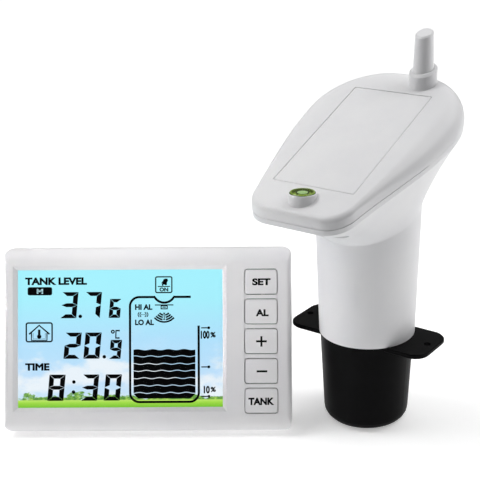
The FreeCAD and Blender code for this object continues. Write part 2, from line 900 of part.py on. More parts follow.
def build_sensor():
    save_sensor("mounting_base", mounting_base())
    save_sensor("transducer", transducer())
    save_sensor("transducer_sleeve", transducer_sleeve())
    save_sensor("sensor_body", sensor_body())
    save_sensor("head_cover", head_cover())
    save_sensor("head_seal", seal_ring(0.0))
    save_sensor("head_screws", head_screws())
    save_sensor("sensor_battery_door", placed(sensor_battery_door(), face_place))
    save_sensor("sensor_cells", sensor_cells())
    bridge, tabs = sensor_contacts()
    save_sensor("sensor_bridge_contact", bridge)
    save_sensor("sensor_contact_tabs", tabs)
    save_sensor("sensor_board", sensor_board())
    save_sensor("rf_module", rf_module())
    save_sensor("pulse_transformer", pulse_transformer())
    save_sensor("transducer_leads", transducer_leads())
    save_sensor("battery_leads", battery_leads())
    save_sensor("antenna_lead", antenna_lead())
    save_sensor("antenna_sleeve", antenna_sleeve())
    save_sensor("antenna_rod", antenna_rod())
    vial, fluid = level_pieces()
    save_sensor("level_vial", vial)
    save_sensor("level_fluid", fluid)


# Console pieces, in a frame of their own: X to the right, Y into the depth from the face, Z up the face
ear_side_reach = ((ear_reach - ear_corner) * math.cos(turn_angle)
                  + (ear_width / 2 - ear_corner) * math.sin(turn_angle) + ear_corner)
console_x = sensor_x - ear_side_reach - units_gap - console_width / 2
console_lift = front_depth * math.sin(lean_angle)
console_place = Placement(Vector(console_x, sensor_y - console_setback, console_lift),
                          Rotation(Vector(1, 0, 0), -console_lean))
half_width = console_width / 2

lcd_width = console_width - lcd_left_margin - lcd_right_margin
lcd_height = console_height - lcd_foot_margin - lcd_head_margin
lcd_x = (lcd_left_margin - lcd_right_margin) / 2
lcd_z = lcd_foot_margin + lcd_height / 2
key_column = console_height - key_foot_margin - key_head_margin
key_height = (key_column - (len(key_names) - 1) * key_spacing) / len(key_names)
key_pitch = key_height + key_spacing
key_x = half_width - key_side_margin
key_middle_z = key_foot_margin + key_column / 2
hook_z = console_height - hook_drop
rear_bay_x = rear_bay_side_margin - half_width
rear_bay_z = console_height / 2 + rear_bay_lift

window_width = lcd_width + 2 * window_margin
window_height = lcd_height + 2 * window_margin
lcd_front = console_wall + window_thickness + touch
backlight_front = lcd_front + lcd_thickness + touch
console_board_front = backlight_front + backlight_thickness + touch
console_board_back = console_board_front + board_thickness
key_hole_width = key_width + 2 * key_gap
key_hole_height = key_height + 2 * key_gap
console_screw_places = [(side * (half_width - console_screw_inset_x), z) for side in (-1, 1)
                        for z in (console_screw_inset_z, console_height - console_screw_inset_z)]
screw_seat = front_depth + console_boss_length


def save_console(name, shape):
    save(name, shape, console_place)


def key_z(index):
    return key_middle_z + (len(key_names) // 2 - index) * key_pitch


def outline_prism(inset):
    corner = console_corner - inset
    face = rounded_face([(Vector(x, 0, z), corner) for x, z in
                         ((-half_width + inset, inset), (half_width - inset, inset),
                          (half_width - inset, console_height - inset),
                          (-half_width + inset, console_height - inset))])
    return face.extrude(Vector(0, console_depth, 0))


def side_prism(corners, inset):
    face = rounded_face([(Vector(inset - half_width, y, z), radius) for y, z, radius in corners])
    return face.extrude(Vector(console_width - 2 * inset, 0, 0))


def plan_prism(front, back, front_round, back_round):
    face = rounded_face([(Vector(-half_width, front, 0), front_round),
                         (Vector(half_width, front, 0), front_round),
                         (Vector(half_width, back, 0), back_round),
                         (Vector(-half_width, back, 0), back_round)])
    return face.extrude(Vector(0, 0, console_height))


def front_block(inset):
    roll = face_roll - inset
    top = console_height - inset
    side = side_prism([(front_depth, inset, 0), (inset, inset, roll), (inset, top, roll),
                       (front_depth, top, 0)], inset)
    return side.common(outline_prism(inset))


def front_envelope():
    return front_block(0.0).common(plan_prism(0, front_depth, face_side_round, 0))


def rear_block(inset):
    slope = math.tan(lean_angle)
    lift = inset / math.cos(lean_angle)
    back = console_depth - inset
    edge = rear_edge_round - inset
    top = console_height - inset
    side = side_prism([(front_depth, lift, 0), (front_depth, top, 0), (back, top, edge),
                       (back, slope * (back - front_depth) + lift, edge)], inset)
    return side.common(outline_prism(inset))


def rear_envelope():
    return rear_block(0.0).common(plan_prism(front_depth, console_depth, 0, rear_edge_round))


def panel(width, height, y0, y1, x, z):
    return box(x - width / 2, x + width / 2, y0, y1, z - height / 2, z + height / 2)


def window_opening():
    def rectangle(width, height, y):
        corners = [Vector(lcd_x + sx * width / 2, y, lcd_z + sz * height / 2)
                   for sx, sz in ((-1, -1), (1, -1), (1, 1), (-1, 1))]
        return Part.makePolygon(corners + corners[:1])
    bevel = Part.makeLoft([rectangle(lcd_width + 2 * window_bevel, lcd_height + 2 * window_bevel, 0),
                           rectangle(lcd_width, lcd_height, window_bevel_depth)], True, True)
    return bevel.fuse(panel(lcd_width, lcd_height, window_bevel_depth, front_depth, lcd_x, lcd_z))


def key_block(width, height, corner, y0, y1):
    block = round_plate(width, height, y1 - y0, corner)
    return placed(block, Placement(Vector(0, y1, 0), Rotation(Vector(1, 0, 0), 90)))


def at_key(shape, index):
    return placed(shape, Placement(Vector(key_x, 0, key_z(index)), Rotation()))


def console_front():
    envelope = front_envelope()
    shell = envelope.cut(front_block(console_wall))
    rib_top = lcd_front + lcd_thickness
    outer = panel(window_width + 2 * (slip + frame_rib), window_height + 2 * (slip + frame_rib),
                  console_wall / 2, rib_top, lcd_x, lcd_z)
    frame = outer.cut(panel(window_width + 2 * slip, window_height + 2 * slip, 0, front_depth, lcd_x, lcd_z))
    posts = [along_y(console_post_radius, 0, front_depth, x, z) for x, z in console_screw_places]
    extras = [extra.common(envelope) for extra in [frame] + posts]
    hole = key_block(key_hole_width, key_hole_height, key_corner + key_gap, -spare, front_depth)
    cuts = [window_opening()] + [at_key(hole, i) for i in range(len(key_names))]
    for x, z in console_screw_places:
        cuts.append(along_y(console_screw_radius + touch, front_depth - console_screw_bite - slip,
                            front_depth + spare, x, z))
    return fused([shell] + extras).cut(Part.Compound(cuts)).removeSplitter()


def display_window():
    return panel(window_width, window_height, console_wall, console_wall + window_thickness, lcd_x, lcd_z)


def lcd_glass():
    return panel(window_width, window_height, lcd_front, lcd_front + lcd_thickness, lcd_x, lcd_z)


backlight_height = lcd_height - 2 * backlight_inset


def lcd_backlight():
    return panel(lcd_width, backlight_height, backlight_front, backlight_front + backlight_thickness,
                 lcd_x, lcd_z)


def lcd_connector_strips():
    offset = backlight_height / 2 + strip_gap + strip_width / 2
    return Part.Compound([panel(lcd_width, strip_width, backlight_front, console_board_front - touch,
                                lcd_x, lcd_z + side * offset) for side in (-1, 1)])


def console_board():
    edge_x = half_width - console_wall - console_board_margin
    edge_z = console_screw_inset_z + console_post_radius + screw_hole_play
    return box(-edge_x, edge_x, console_board_front, console_board_back, edge_z, console_height - edge_z)


def key():
    cap = key_block(key_width, key_height, key_corner, 0, console_wall + slip)
    cap = cap.makeFillet(key_edge, edges_at(cap, 1, 0.0))
    flange = panel(key_width + 2 * key_flange, key_height, console_wall + slip,
                   console_wall + slip + key_flange_thickness, 0, 0)
    stem = panel(key_stem, key_stem, console_wall + slip,
                 console_board_front - switch_height - key_travel - touch, 0, 0)
    return fused([cap, flange, stem])


def key_switches():
    front = console_board_front - switch_height
    return Part.Compound([panel(switch_size, switch_size, front, console_board_front, key_x, key_z(i))
                          for i in range(len(key_names))])


def buzzer():
    return along_y(buzzer_radius, console_board_back, console_board_back + buzzer_height,
                   half_width - buzzer_side_margin, console_height - buzzer_drop)


def receiver_coil():
    x = half_width - coil_side_margin
    y = console_board_back + coil_radius + touch
    return along_x(coil_radius, x - coil_length / 2, x + coil_length / 2, y, console_height - coil_drop)


def console_chip():
    return panel(chip_size, chip_size, console_board_back, console_board_back + chip_height,
                 0, console_height - chip_drop)


rear_bay_width = aaa_count * 2 * aaa_radius + (aaa_count + 1) * cell_play
rear_bay_length = aaa_length + 2 * contact_room
rear_bay_front = console_depth - rear_door_thickness - 2 * cell_play - 2 * aaa_radius
rear_door_width = rear_bay_width + 2 * rear_door_ledge
rear_door_length = rear_bay_length + 2 * rear_door_ledge
aaa_y = rear_bay_front + cell_play + aaa_radius
stand_hinge_y = console_depth - stand_barrel_radius - stand_gap / 2
recess_front = stand_hinge_y - stand_barrel_radius - stand_gap
recess_half = stand_width / 2 + stand_gap
recess_top = stand_hinge_z + stand_barrel_radius + stand_gap


def aaa_x(index):
    return rear_bay_x + (index - (aaa_count - 1) / 2) * (2 * aaa_radius + cell_play)


def rear_door_plate(width, length, y0, y1, corner):
    plate = key_block(width, length, corner, y0, y1)
    return placed(plate, Placement(Vector(rear_bay_x, 0, rear_bay_z), Rotation()))


def plus_end(index):
    # Cells stand alternately up and down
    return 1 if index % 2 == 0 else -1


def contact_span(end):
    # Where a contact plate lies along the bay, and its face towards the cells
    wall = rear_bay_z + end * (rear_bay_length / 2 - touch)
    face = wall - end * contact_thickness
    return min(wall, face), max(wall, face), face


tab_ends = ((0, -plus_end(0)), (aaa_count - 1, plus_end(aaa_count - 1)))


def tab_slots(play):
    # Tails of the two end contacts, through the floor of the bay to the board
    slots = []
    for index, end in tab_ends:
        low, high, face = contact_span(end)
        slots.append(box(aaa_x(index) - aaa_cap_radius - play, aaa_x(index) + aaa_cap_radius + play,
                         console_board_back + touch, aaa_y, low - play, high + play))
    return slots


def console_rear():
    envelope = rear_envelope()
    shell = envelope.cut(rear_block(console_wall))
    bay = panel(rear_bay_width + 2 * rear_bay_wall, rear_bay_length + 2 * rear_bay_wall,
                rear_bay_front - rear_bay_floor, console_depth, rear_bay_x, rear_bay_z)
    ledge = panel(rear_door_width + 2 * rear_bay_wall, rear_door_length + 2 * rear_bay_wall,
                  console_depth - rear_door_thickness - rear_bay_wall, console_depth, rear_bay_x, rear_bay_z)
    recess = box(-recess_half - stand_recess_wall, recess_half + stand_recess_wall,
                 recess_front - stand_recess_wall, console_depth, 0, recess_top + stand_recess_wall)
    bosses = [along_y(console_post_radius, front_depth, console_depth, x, z) for x, z in console_screw_places]
    extras = [extra.common(envelope) for extra in [bay, ledge, recess] + bosses]
    cuts = [panel(rear_bay_width, rear_bay_length, rear_bay_front, far, rear_bay_x, rear_bay_z),
            rear_door_plate(rear_door_width, rear_door_length, console_depth - rear_door_thickness, far,
                            rear_door_corner),
            box(-recess_half, recess_half, recess_front, far, -far, recess_top),
            along_x(stand_pin_radius + stand_pin_play, -recess_half - stand_recess_wall,
                    recess_half + stand_recess_wall, stand_hinge_y, stand_hinge_z),
            along_y(hook_hole_radius, console_depth - 2 * console_wall, far, 0, hook_z),
            along_y(hook_slot_radius, console_depth - 2 * console_wall, far, 0, hook_z + hook_slot_length),
            box(-hook_slot_radius, hook_slot_radius, console_depth - 2 * console_wall, far, hook_z,
                hook_z + hook_slot_length)]
    cuts += tab_slots(slip)
    for x, z in console_screw_places:
        cuts.append(along_y(console_screw_access, screw_seat, far, x, z))
        cuts.append(along_y(console_screw_radius + screw_hole_play, 0, far, x, z))
    return fused([shell] + extras).cut(Part.Compound(cuts)).removeSplitter()


def console_screws():
    screws = []
    for x, z in console_screw_places:
        shank = along_y(console_screw_radius, front_depth - console_screw_bite, screw_seat + spare, x, z)
        head = along_y(console_screw_head, screw_seat, screw_seat + console_screw_head_height, x, z)
        screws.append(shank.fuse(head))
    return Part.Compound(screws)


def console_battery_door():
    door = rear_door_plate(rear_door_width - 2 * door_gap, rear_door_length - 2 * door_gap,
                           console_depth - rear_door_thickness + touch, console_depth,
                           rear_door_corner - door_gap)
    rib = panel(rear_bay_width - 2 * slip, door_rib_wall, console_depth - rear_door_thickness - cell_play,
                console_depth - rear_door_thickness / 2, rear_bay_x, 0)
    ribs = []
    for side in (-1, 1):
        offset = rear_bay_z + side * (rear_bay_length / 2 - slip - door_rib_wall / 2)
        ribs.append(placed(rib, Placement(Vector(0, 0, offset), Rotation())))
    grips = []
    for i in range(rear_door_grips):
        z = rear_bay_z + rear_bay_length / 2 - (i + 1) * rear_door_grip_pitch
        grips.append(along_x(rear_door_grip_radius, rear_bay_x - rear_door_grip_width / 2,
                             rear_bay_x + rear_door_grip_width / 2, console_depth, z))
    return fused([door] + ribs).cut(Part.Compound(grips))


def console_cells():
    one = cell(aaa_radius, aaa_length, aaa_cap_radius, aaa_cap_height)
    cells = []
    for i in range(aaa_count):
        foot = Vector(aaa_x(i), aaa_y, rear_bay_z - plus_end(i) * aaa_length / 2)
        cells.append(placed(one, Placement(foot, Rotation(Vector(0, 0, 1), Vector(0, 0, plus_end(i))))))
    return Part.Compound(cells)


def rear_contact(first, last, end):
    # Plate across some of the cells at one end of the bay, with a sprung cone for each
    low, high, face = contact_span(end)
    half_plate = aaa_radius * (1 - contact_side_share)
    plate = box(aaa_x(first) - half_plate, aaa_x(last) + half_plate, rear_bay_front + touch,
                aaa_y + aaa_radius / 2, low, high)
    reach = contact_room - contact_thickness - 2 * touch
    base_radius = aaa_cap_radius + contact_cone_spread
    tip_radius = aaa_cap_radius - contact_cone_spread
    cones = [Part.makeCone(base_radius, tip_radius, reach, Vector(aaa_x(i), aaa_y, face), Vector(0, 0, -end))
             for i in range(first, last + 1)]
    return fused([plate] + cones)


def console_bridge_contact():
    return Part.Compound([rear_contact(i, i + 1, plus_end(i)) for i in range(aaa_count - 1)])


def console_contact_tabs():
    tabs = []
    for (index, end), tail in zip(tab_ends, tab_slots(0.0)):
        tabs.append(rear_contact(index, index, end).fuse(tail).removeSplitter())
    return Part.Compound(tabs)


stand_foot_radius = stand_thickness / 2
stand_hinge_height = (stand_hinge_z * math.cos(lean_angle) - stand_hinge_y * math.sin(lean_angle)
                      + console_lift)
stand_swing = math.acos((stand_hinge_height - stand_foot_radius) / stand_length)
stand_open = console_lean + math.degrees(stand_swing)


def console_stand():
    half = stand_width / 2
    foot_z = stand_hinge_z - stand_length
    plate = box(-half, half, stand_hinge_y - stand_foot_radius, stand_hinge_y + stand_foot_radius, foot_z,
                stand_hinge_z)
    notch = along_y(stand_notch_radius, 0, far, 0, foot_z)
    foot = along_x(stand_foot_radius, -half, half, stand_hinge_y, foot_z)
    barrel = along_x(stand_barrel_radius, -half, half, stand_hinge_y, stand_hinge_z)
    pin_reach = half + stand_gap + stand_pin_length - touch
    pins = along_x(stand_pin_radius, -pin_reach, pin_reach, stand_hinge_y, stand_hinge_z)
    stand = fused([plate, foot, barrel, pins]).cut(notch)
    return stand.rotate(Vector(0, stand_hinge_y, stand_hinge_z), Vector(1, 0, 0), stand_open)


def build_console():
    save_console("console_front", console_front())
    save_console("console_rear", console_rear())
    save_console("display_window", display_window())
    save_console("lcd_glass", lcd_glass())
    save_console("lcd_backlight", lcd_backlight())
    save_console("lcd_connector_strips", lcd_connector_strips())
    save_console("console_board", console_board())
    for i, name in enumerate(key_names):
        save_console(name, at_key(key(), i))
    save_console("key_switches", key_switches())
    save_console("buzzer", buzzer())
    save_console("receiver_coil", receiver_coil())
    save_console("console_chip", console_chip())
    save_console("console_screws", console_screws())
    save_console("console_battery_door", console_battery_door())
    save_console("console_cells", console_cells())
    save_console("console_bridge_contact", console_bridge_contact())
    save_console("console_contact_tabs", console_contact_tabs())
    save_console("console_stand", console_stand())


build_sensor()
build_console()
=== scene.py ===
import json
import math

import bmesh
import bpy
from mathutils import Matrix, Vector


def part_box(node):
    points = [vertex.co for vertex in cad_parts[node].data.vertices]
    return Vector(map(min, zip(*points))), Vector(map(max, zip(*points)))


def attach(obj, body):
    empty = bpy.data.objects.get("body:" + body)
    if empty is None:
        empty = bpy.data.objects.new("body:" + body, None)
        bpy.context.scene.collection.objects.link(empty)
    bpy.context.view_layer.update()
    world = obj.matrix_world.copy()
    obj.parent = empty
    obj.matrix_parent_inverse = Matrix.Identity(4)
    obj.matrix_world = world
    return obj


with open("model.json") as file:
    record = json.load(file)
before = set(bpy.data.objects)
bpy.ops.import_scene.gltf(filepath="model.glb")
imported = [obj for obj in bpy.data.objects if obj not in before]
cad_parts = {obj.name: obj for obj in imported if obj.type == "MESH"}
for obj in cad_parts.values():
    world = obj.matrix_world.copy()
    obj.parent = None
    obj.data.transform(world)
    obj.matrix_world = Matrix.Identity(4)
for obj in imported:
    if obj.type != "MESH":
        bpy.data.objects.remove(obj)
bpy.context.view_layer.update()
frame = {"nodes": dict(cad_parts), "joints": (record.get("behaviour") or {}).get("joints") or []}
nodes = frame["nodes"]
scene = bpy.context.scene
scene.view_settings.view_transform = "Standard"

millimetre = 0.001
jointAxes = {joint["name"]: Vector(joint["axis"]).normalized() for joint in frame["joints"]}


def middle(node):
    low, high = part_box(node)
    return (low + high) / 2


# the console's own directions: across the face, into the case and up the face
across = Vector((1, 0, 0))
inward = jointAxes["set_key_press"]
upFace = across.cross(inward)

# the sensor's own directions: out of its sloping face, level across it and up along it
outOfFace = jointAxes["sensor_door_lift"]
sensorFront = Vector((outOfFace.x, outOfFace.y, 0)).normalized()
sensorAcross = Vector((-sensorFront.y, sensorFront.x, 0))
upSensor = outOfFace.cross(sensorAcross)


def place(origin, xAxis, yAxis):
    # drawing plane in millimetres: x and y lie in it, z comes out of it
    turn = Matrix((xAxis, yAxis, xAxis.cross(yAxis))).transposed().to_4x4()
    return Matrix.Translation(origin) @ turn @ Matrix.Scale(millimetre, 4)


def reach(node, axis):
    # how far a node goes along an axis, lowest and highest
    spans = [vertex.co.dot(axis) for vertex in nodes[node].data.vertices]
    return min(spans), max(spans)


def linear(red, green, blue):
    # screen colour, 0 to 255, as the shader's own numbers
    def one(value):
        share = value / 255
        return share / 12.92 if share <= 0.04045 else ((share + 0.055) / 1.055) ** 2.4
    return (one(red), one(green), one(blue), 1.0)


print("frame loaded:", len(nodes), "nodes")


class Signal:
    # a socket in an expression, where each operator adds a Math node
    def __init__(self, finish, socket):
        self.finish = finish
        self.socket = socket

    def maths(self, operation, first, second):
        return self.finish.node("ShaderNodeMath", {"operation": operation}, {0: first, 1: second})

    def __add__(self, other):
        return self.maths("ADD", self, other)

    def __radd__(self, other):
        return self.maths("ADD", other, self)

    def __sub__(self, other):
        return self.maths("SUBTRACT", self, other)

    def __rsub__(self, other):
        return self.maths("SUBTRACT", other, self)

    def __mul__(self, other):
        return self.maths("MULTIPLY", self, other)

    def __rmul__(self, other):
        return self.maths("MULTIPLY", other, self)

    def __truediv__(self, other):
        return self.maths("DIVIDE", self, other)

    def __rtruediv__(self, other):
        return self.maths("DIVIDE", other, self)

    def __pow__(self, other):
        return self.maths("POWER", self, other)

    def __rpow__(self, other):
        return self.maths("POWER", other, self)

    def __abs__(self):
        return self.maths("ABSOLUTE", self, 0.0)

    def within(self, start, end):
        # soft step from 0 at start to 1 at end, whichever of the two is higher
        return self.finish.node("ShaderNodeMapRange", {"interpolation_type": "SMOOTHSTEP"},
                                {"Value": self, "From Min": start, "From Max": end})


class Finish:
    # one material, built node by node
    def __init__(self, name):
        self.material = bpy.data.materials.new(name)
        self.material.use_nodes = True
        self.tree = self.material.node_tree
        self.tree.nodes.clear()
        self.position = self.node("ShaderNodeTexCoord", out="Object")

    def node(self, kind, settings=None, sockets=None, out=0):
        made = self.tree.nodes.new(kind)
        for key, value in (settings or {}).items():
            if key == "stops":
                self.setStops(made.color_ramp, value)
            else:
                setattr(made, key, value)
        for key, value in (sockets or {}).items():
            if isinstance(value, Signal):
                self.tree.links.new(value.socket, made.inputs[key])
            else:
                made.inputs[key].default_value = value
        return Signal(self, made.outputs[out]) if made.outputs else None

    def setStops(self, ramp, stops):
        while len(ramp.elements) < len(stops):
            ramp.elements.new(1.0)
        for element, (spot, colour) in zip(ramp.elements, stops):
            element.position = spot
            element.color = colour

    def ramp(self, share, stops):
        return self.node("ShaderNodeValToRGB", {"stops": stops}, {"Fac": share})

    def noise(self, scale, detail=2.0, roughness=0.5, at=None):
        return self.node("ShaderNodeTexNoise", {},
                         {"Vector": at or self.position, "Scale": scale, "Detail": detail,
                          "Roughness": roughness})

    def along(self, axis, origin):
        # distance from a point along an axis, in metres
        offset = self.node("ShaderNodeVectorMath", {"operation": "SUBTRACT"},
                           {0: self.position, 1: tuple(origin)})
        return self.node("ShaderNodeVectorMath", {"operation": "DOT_PRODUCT"},
                         {0: offset, 1: tuple(axis)}, out="Value")

    def blend(self, share, first, second):
        # colours mixed by a share; the node's colour sockets are 6, 7 and output 2
        return self.node("ShaderNodeMix", {"data_type": "RGBA"}, {0: share, 6: first, 7: second}, out=2)

    def bump(self, height, distance):
        return self.node("ShaderNodeBump", {}, {"Height": height, "Distance": distance, "Strength": 1.0})

    def surface(self, **sockets):
        named = {key.replace("_", " "): value for key, value in sockets.items()}
        shader = self.node("ShaderNodeBsdfPrincipled", {}, named)
        self.node("ShaderNodeOutputMaterial", {}, {"Surface": shader})
        return self.material


whitePlasticLook = {"colour": linear(234, 234, 235), "shade": linear(230, 230, 232), "toneScale": 45.0,
                    "toneFrom": (0.3, 0.7), "grainScale": 1900.0, "grainDepth": 0.000012,
                    "glossScale": 60.0, "roughness": 0.42, "glossSpread": 0.08, "shine": 0.5}
caseWhiteLook = dict(whitePlasticLook, colour=linear(232, 231, 232), shade=linear(229, 228, 230),
                     roughness=0.48)
keyPlasticLook = dict(whitePlasticLook, colour=linear(233, 232, 233), shade=linear(229, 228, 230),
                      roughness=0.5, grainScale=2400.0)
guideLook = dict(whitePlasticLook, colour=linear(244, 246, 248), shade=linear(238, 241, 245),
                 roughness=0.25)
blackPlasticLook = {"colour": linear(15, 15, 16), "shade": linear(11, 11, 12), "toneScale": 60.0,
                    "toneFrom": (0.3, 0.7), "grainScale": 1500.0, "grainDepth": 0.00003,
                    "glossScale": 80.0, "roughness": 0.42, "glossSpread": 0.1, "shine": 0.04}
rubberLook = dict(blackPlasticLook, colour=linear(36, 36, 37), shade=linear(30, 30, 31), roughness=0.8)
stripLook = dict(blackPlasticLook, colour=linear(150, 90, 96), shade=linear(130, 76, 84), roughness=0.75)
switchLook = dict(blackPlasticLook, colour=linear(58, 58, 60), shade=linear(46, 46, 48))
leadLook = dict(blackPlasticLook, colour=linear(178, 40, 36), shade=linear(160, 34, 30), roughness=0.45)
ferriteLook = dict(blackPlasticLook, colour=linear(78, 74, 72), shade=linear(60, 57, 55), roughness=0.7)


def mouldedPlastic(name, look):
    # injection moulded: a fine spark-eroded grain and faint changes of tone and gloss
    finish = Finish(name)
    tone = finish.noise(look["toneScale"], detail=3.0)
    colour = finish.blend(tone.within(*look["toneFrom"]), look["shade"], look["colour"])
    grain = finish.noise(look["grainScale"], roughness=0.6)
    gloss = look["roughness"] + (finish.noise(look["glossScale"]) - 0.5) * look["glossSpread"]
    return finish.surface(Base_Color=colour, Roughness=gloss, IOR=1.5, Specular_IOR_Level=look["shine"],
                          Normal=finish.bump(grain, look["grainDepth"]))


steelLook = {"colour": linear(198, 199, 202), "film": linear(172, 172, 176), "stretch": (1, 1, 6),
             "lineScale": 1400.0, "lineDepth": 0.00001, "filmScale": 300.0, "filmFrom": (0.35, 0.7),
             "filmDull": 0.12, "roughness": 0.28}
contactLook = dict(steelLook, colour=linear(214, 210, 200), film=linear(190, 184, 172), roughness=0.22)
shieldLook = dict(steelLook, colour=linear(205, 206, 208), stretch=(8, 1, 1), roughness=0.3)
rodLook = dict(steelLook, colour=linear(200, 176, 120), film=linear(176, 148, 92), roughness=0.3)
canLook = dict(steelLook, colour=linear(188, 190, 194), film=linear(164, 166, 172), roughness=0.4)


def workedMetal(name, look):
    # rolled or turned metal: fine lines along one direction, with a duller film in places
    finish = Finish(name)
    stretched = finish.node("ShaderNodeMapping", {}, {"Vector": finish.position, "Scale": look["stretch"]})
    lines = finish.noise(look["lineScale"], detail=3.0, roughness=0.6, at=stretched)
    film = finish.noise(look["filmScale"], detail=3.0).within(*look["filmFrom"])
    return finish.surface(Base_Color=finish.blend(film, look["colour"], look["film"]), Metallic=1.0,
                          Roughness=look["roughness"] + film * look["filmDull"],
                          Normal=finish.bump(lines, look["lineDepth"]))


# a cell from its middle, at 0, to its ends, at 1
cellLook = {"sleeve": linear(34, 36, 40), "band": linear(196, 128, 62), "cap": linear(196, 196, 198),
            "bandFrom": (0.52, 0.54), "capFrom": (0.95, 0.97), "bareFrom": (0.955, 0.965),
            "scuffScale": 500.0, "scuffFrom": (0.55, 0.75), "scuffDull": 0.15, "roughness": 0.3}
cellSets = {"sensor_cells": (upSensor, 50.5), "console_cells": (upFace, 44.5)}  # direction, millimetres


def cellWrap(node, look):
    # printed sleeve with coloured bands towards the ends and bare metal caps
    finish = Finish(node + "Wrap")
    axis, length = cellSets[node]
    share = abs(finish.along(axis, middle(node))) / (length * millimetre / 2)
    wrap = finish.ramp(share, [
        (0.0, look["sleeve"]), (look["bandFrom"][0], look["sleeve"]), (look["bandFrom"][1], look["band"]),
        (look["capFrom"][0], look["band"]), (look["capFrom"][1], look["cap"])])
    scuffs = finish.noise(look["scuffScale"], detail=4.0).within(*look["scuffFrom"])
    return finish.surface(Base_Color=wrap, Metallic=share.within(*look["bareFrom"]),
                          Roughness=look["roughness"] + scuffs * look["scuffDull"])


boardLook = {"mask": linear(22, 92, 58), "maskOverRun": linear(40, 124, 80), "pad": linear(206, 206, 200),
             "padPitch": 0.0026, "padEdge": (0.12, 0.16), "runScale": 120.0, "runWidth": 0.03,
             "runDepth": 0.00003, "roughness": 0.35}


def boardLaminate(name, look):
    # solder mask over copper runs on a fixed pitch, with tinned pads
    finish = Finish(name)
    cell = finish.node("ShaderNodeTexVoronoi", {"distance": "CHEBYCHEV"},
                       {"Vector": finish.position, "Scale": 1 / look["padPitch"]})
    runs = finish.node("ShaderNodeTexBrick", {}, {
        "Vector": finish.position, "Scale": look["runScale"], "Mortar Size": look["runWidth"],
        "Color1": (0, 0, 0, 1), "Color2": (0, 0, 0, 1), "Mortar": (1, 1, 1, 1)})
    pads = 1 - cell.within(*look["padEdge"])
    mask = finish.blend(runs, look["mask"], look["maskOverRun"])
    return finish.surface(Base_Color=finish.blend(pads, mask, look["pad"]), Metallic=pads,
                          Roughness=look["roughness"], Normal=finish.bump(runs, look["runDepth"]))


windowLook = {"tint": linear(40, 42, 44), "alpha": 0.03, "shine": 0.15, "roughness": 0.1,
              "smearScale": 180.0, "smearFrom": (0.4, 0.75), "smearDull": 0.03}


def clearWindow(name, look):
    # clear sheet that shows little but its reflections, with faint smears
    finish = Finish(name)
    smear = finish.noise(look["smearScale"], detail=3.0).within(*look["smearFrom"])
    return finish.surface(Base_Color=look["tint"], Roughness=look["roughness"] + smear * look["smearDull"],
                          IOR=1.49, Specular_IOR_Level=look["shine"], Alpha=look["alpha"])


def fromAxis(finish, node):
    # how far out from an upright axis, as a share of the node's own radius
    low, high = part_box(node)
    aside = finish.along((1, 0, 0), middle(node))
    ahead = finish.along((0, 1, 0), middle(node))
    return (aside * aside + ahead * ahead) ** 0.5 / ((high.x - low.x) / 2)


# the level's colours from its axis, at 0, to its wall, at 1; the dark end near the wall is painted shade
vialLook = {"stops": [(0.0, linear(206, 226, 168)), (0.8, linear(186, 214, 106)),
                      (0.9, linear(150, 182, 74)), (0.985, linear(70, 92, 30))],
            "alpha": 0.12, "rimShadeAlpha": 0.8, "rimShadeFrom": (0.72, 0.95), "roughness": 0.12}
# the spirit's darker stops towards the wall are painted shade, and its glow is a painted glow, for the
# spirit is no lamp
fluidLook = {"stops": [(0.0, linear(190, 218, 112)), (0.6, linear(184, 214, 100)),
                       (0.85, linear(156, 190, 72)), (1.0, linear(104, 136, 40))],
             "roughness": 0.2, "glow": 0.3}


def vialShell(name, look):
    # clear lid over the dyed spirit, darker and less clear towards its rim, where the lid is thick and
    # painted shade from the vial's wall falls
    finish = Finish(name)
    share = fromAxis(finish, "level_vial")
    # painted shade: the lid darkens towards its rim
    thick = share.within(*look["rimShadeFrom"])
    return finish.surface(Base_Color=finish.ramp(share, look["stops"]), Roughness=look["roughness"],
                          IOR=1.49, Alpha=look["alpha"] + thick * look["rimShadeAlpha"])


def vialFluid(name, look):
    # dyed spirit: brighter in the middle, with painted shade where the wall is near, and a painted glow of
    # its own colour that brightens it
    finish = Finish(name)
    colour = finish.ramp(fromAxis(finish, "level_fluid"), look["stops"])
    return finish.surface(Base_Color=colour, Roughness=look["roughness"], Emission_Color=colour,
                          Emission_Strength=look["glow"])


# the display in millimetres; weight thickens its words
display = {"wide": 97.3, "tall": 65.3, "glass": 2.2, "lift": 0.01, "ink": 0.016, "weight": 0.05}

# the picture's heights run from 0 at its foot to 1 at its top
pictureLook = {
    "sky": [(0.0, linear(200, 222, 236)), (0.2, linear(180, 212, 238)), (0.5, linear(166, 214, 240)),
            (0.78, linear(156, 228, 241)), (1.0, linear(155, 231, 243))],
    "flatten": 1.7, "slice": 0.35,
    "haze": linear(206, 222, 240), "hazeScale": 1.6, "hazeFrom": (0.56, 0.86), "hazeShare": 0.35,
    "hazeFade": (0.95, 0.45),
    "cloud": linear(226, 233, 238), "cloudScale": 3.1, "cloudFrom": (0.56, 0.76), "cloudShare": 0.9,
    "cloudFade": (0.62, 0.3), "cloudHeight": 0.2, "cloudBand": 0.24, "cloudGather": 0.22,
    "hedge": [(0.3, linear(52, 104, 44)), (0.5, linear(96, 152, 58)), (0.66, linear(158, 196, 84)),
              (0.8, linear(196, 218, 120))],
    "hedgeTop": 0.085, "hedgeUneven": 0.2, "hedgeScale": 9.0, "hedgeEdge": (0.0, 0.012), "leafScale": 34.0,
    "lawn": [(0.0, linear(114, 186, 44)), (0.6, linear(152, 208, 64)), (1.0, linear(188, 224, 104))],
    "lawnTop": 0.055, "lawnEdge": (0.056, 0.048),
    "glass": (0.02, 0.02, 0.02, 1), "roughness": 0.25, "glow": 1.16,
}


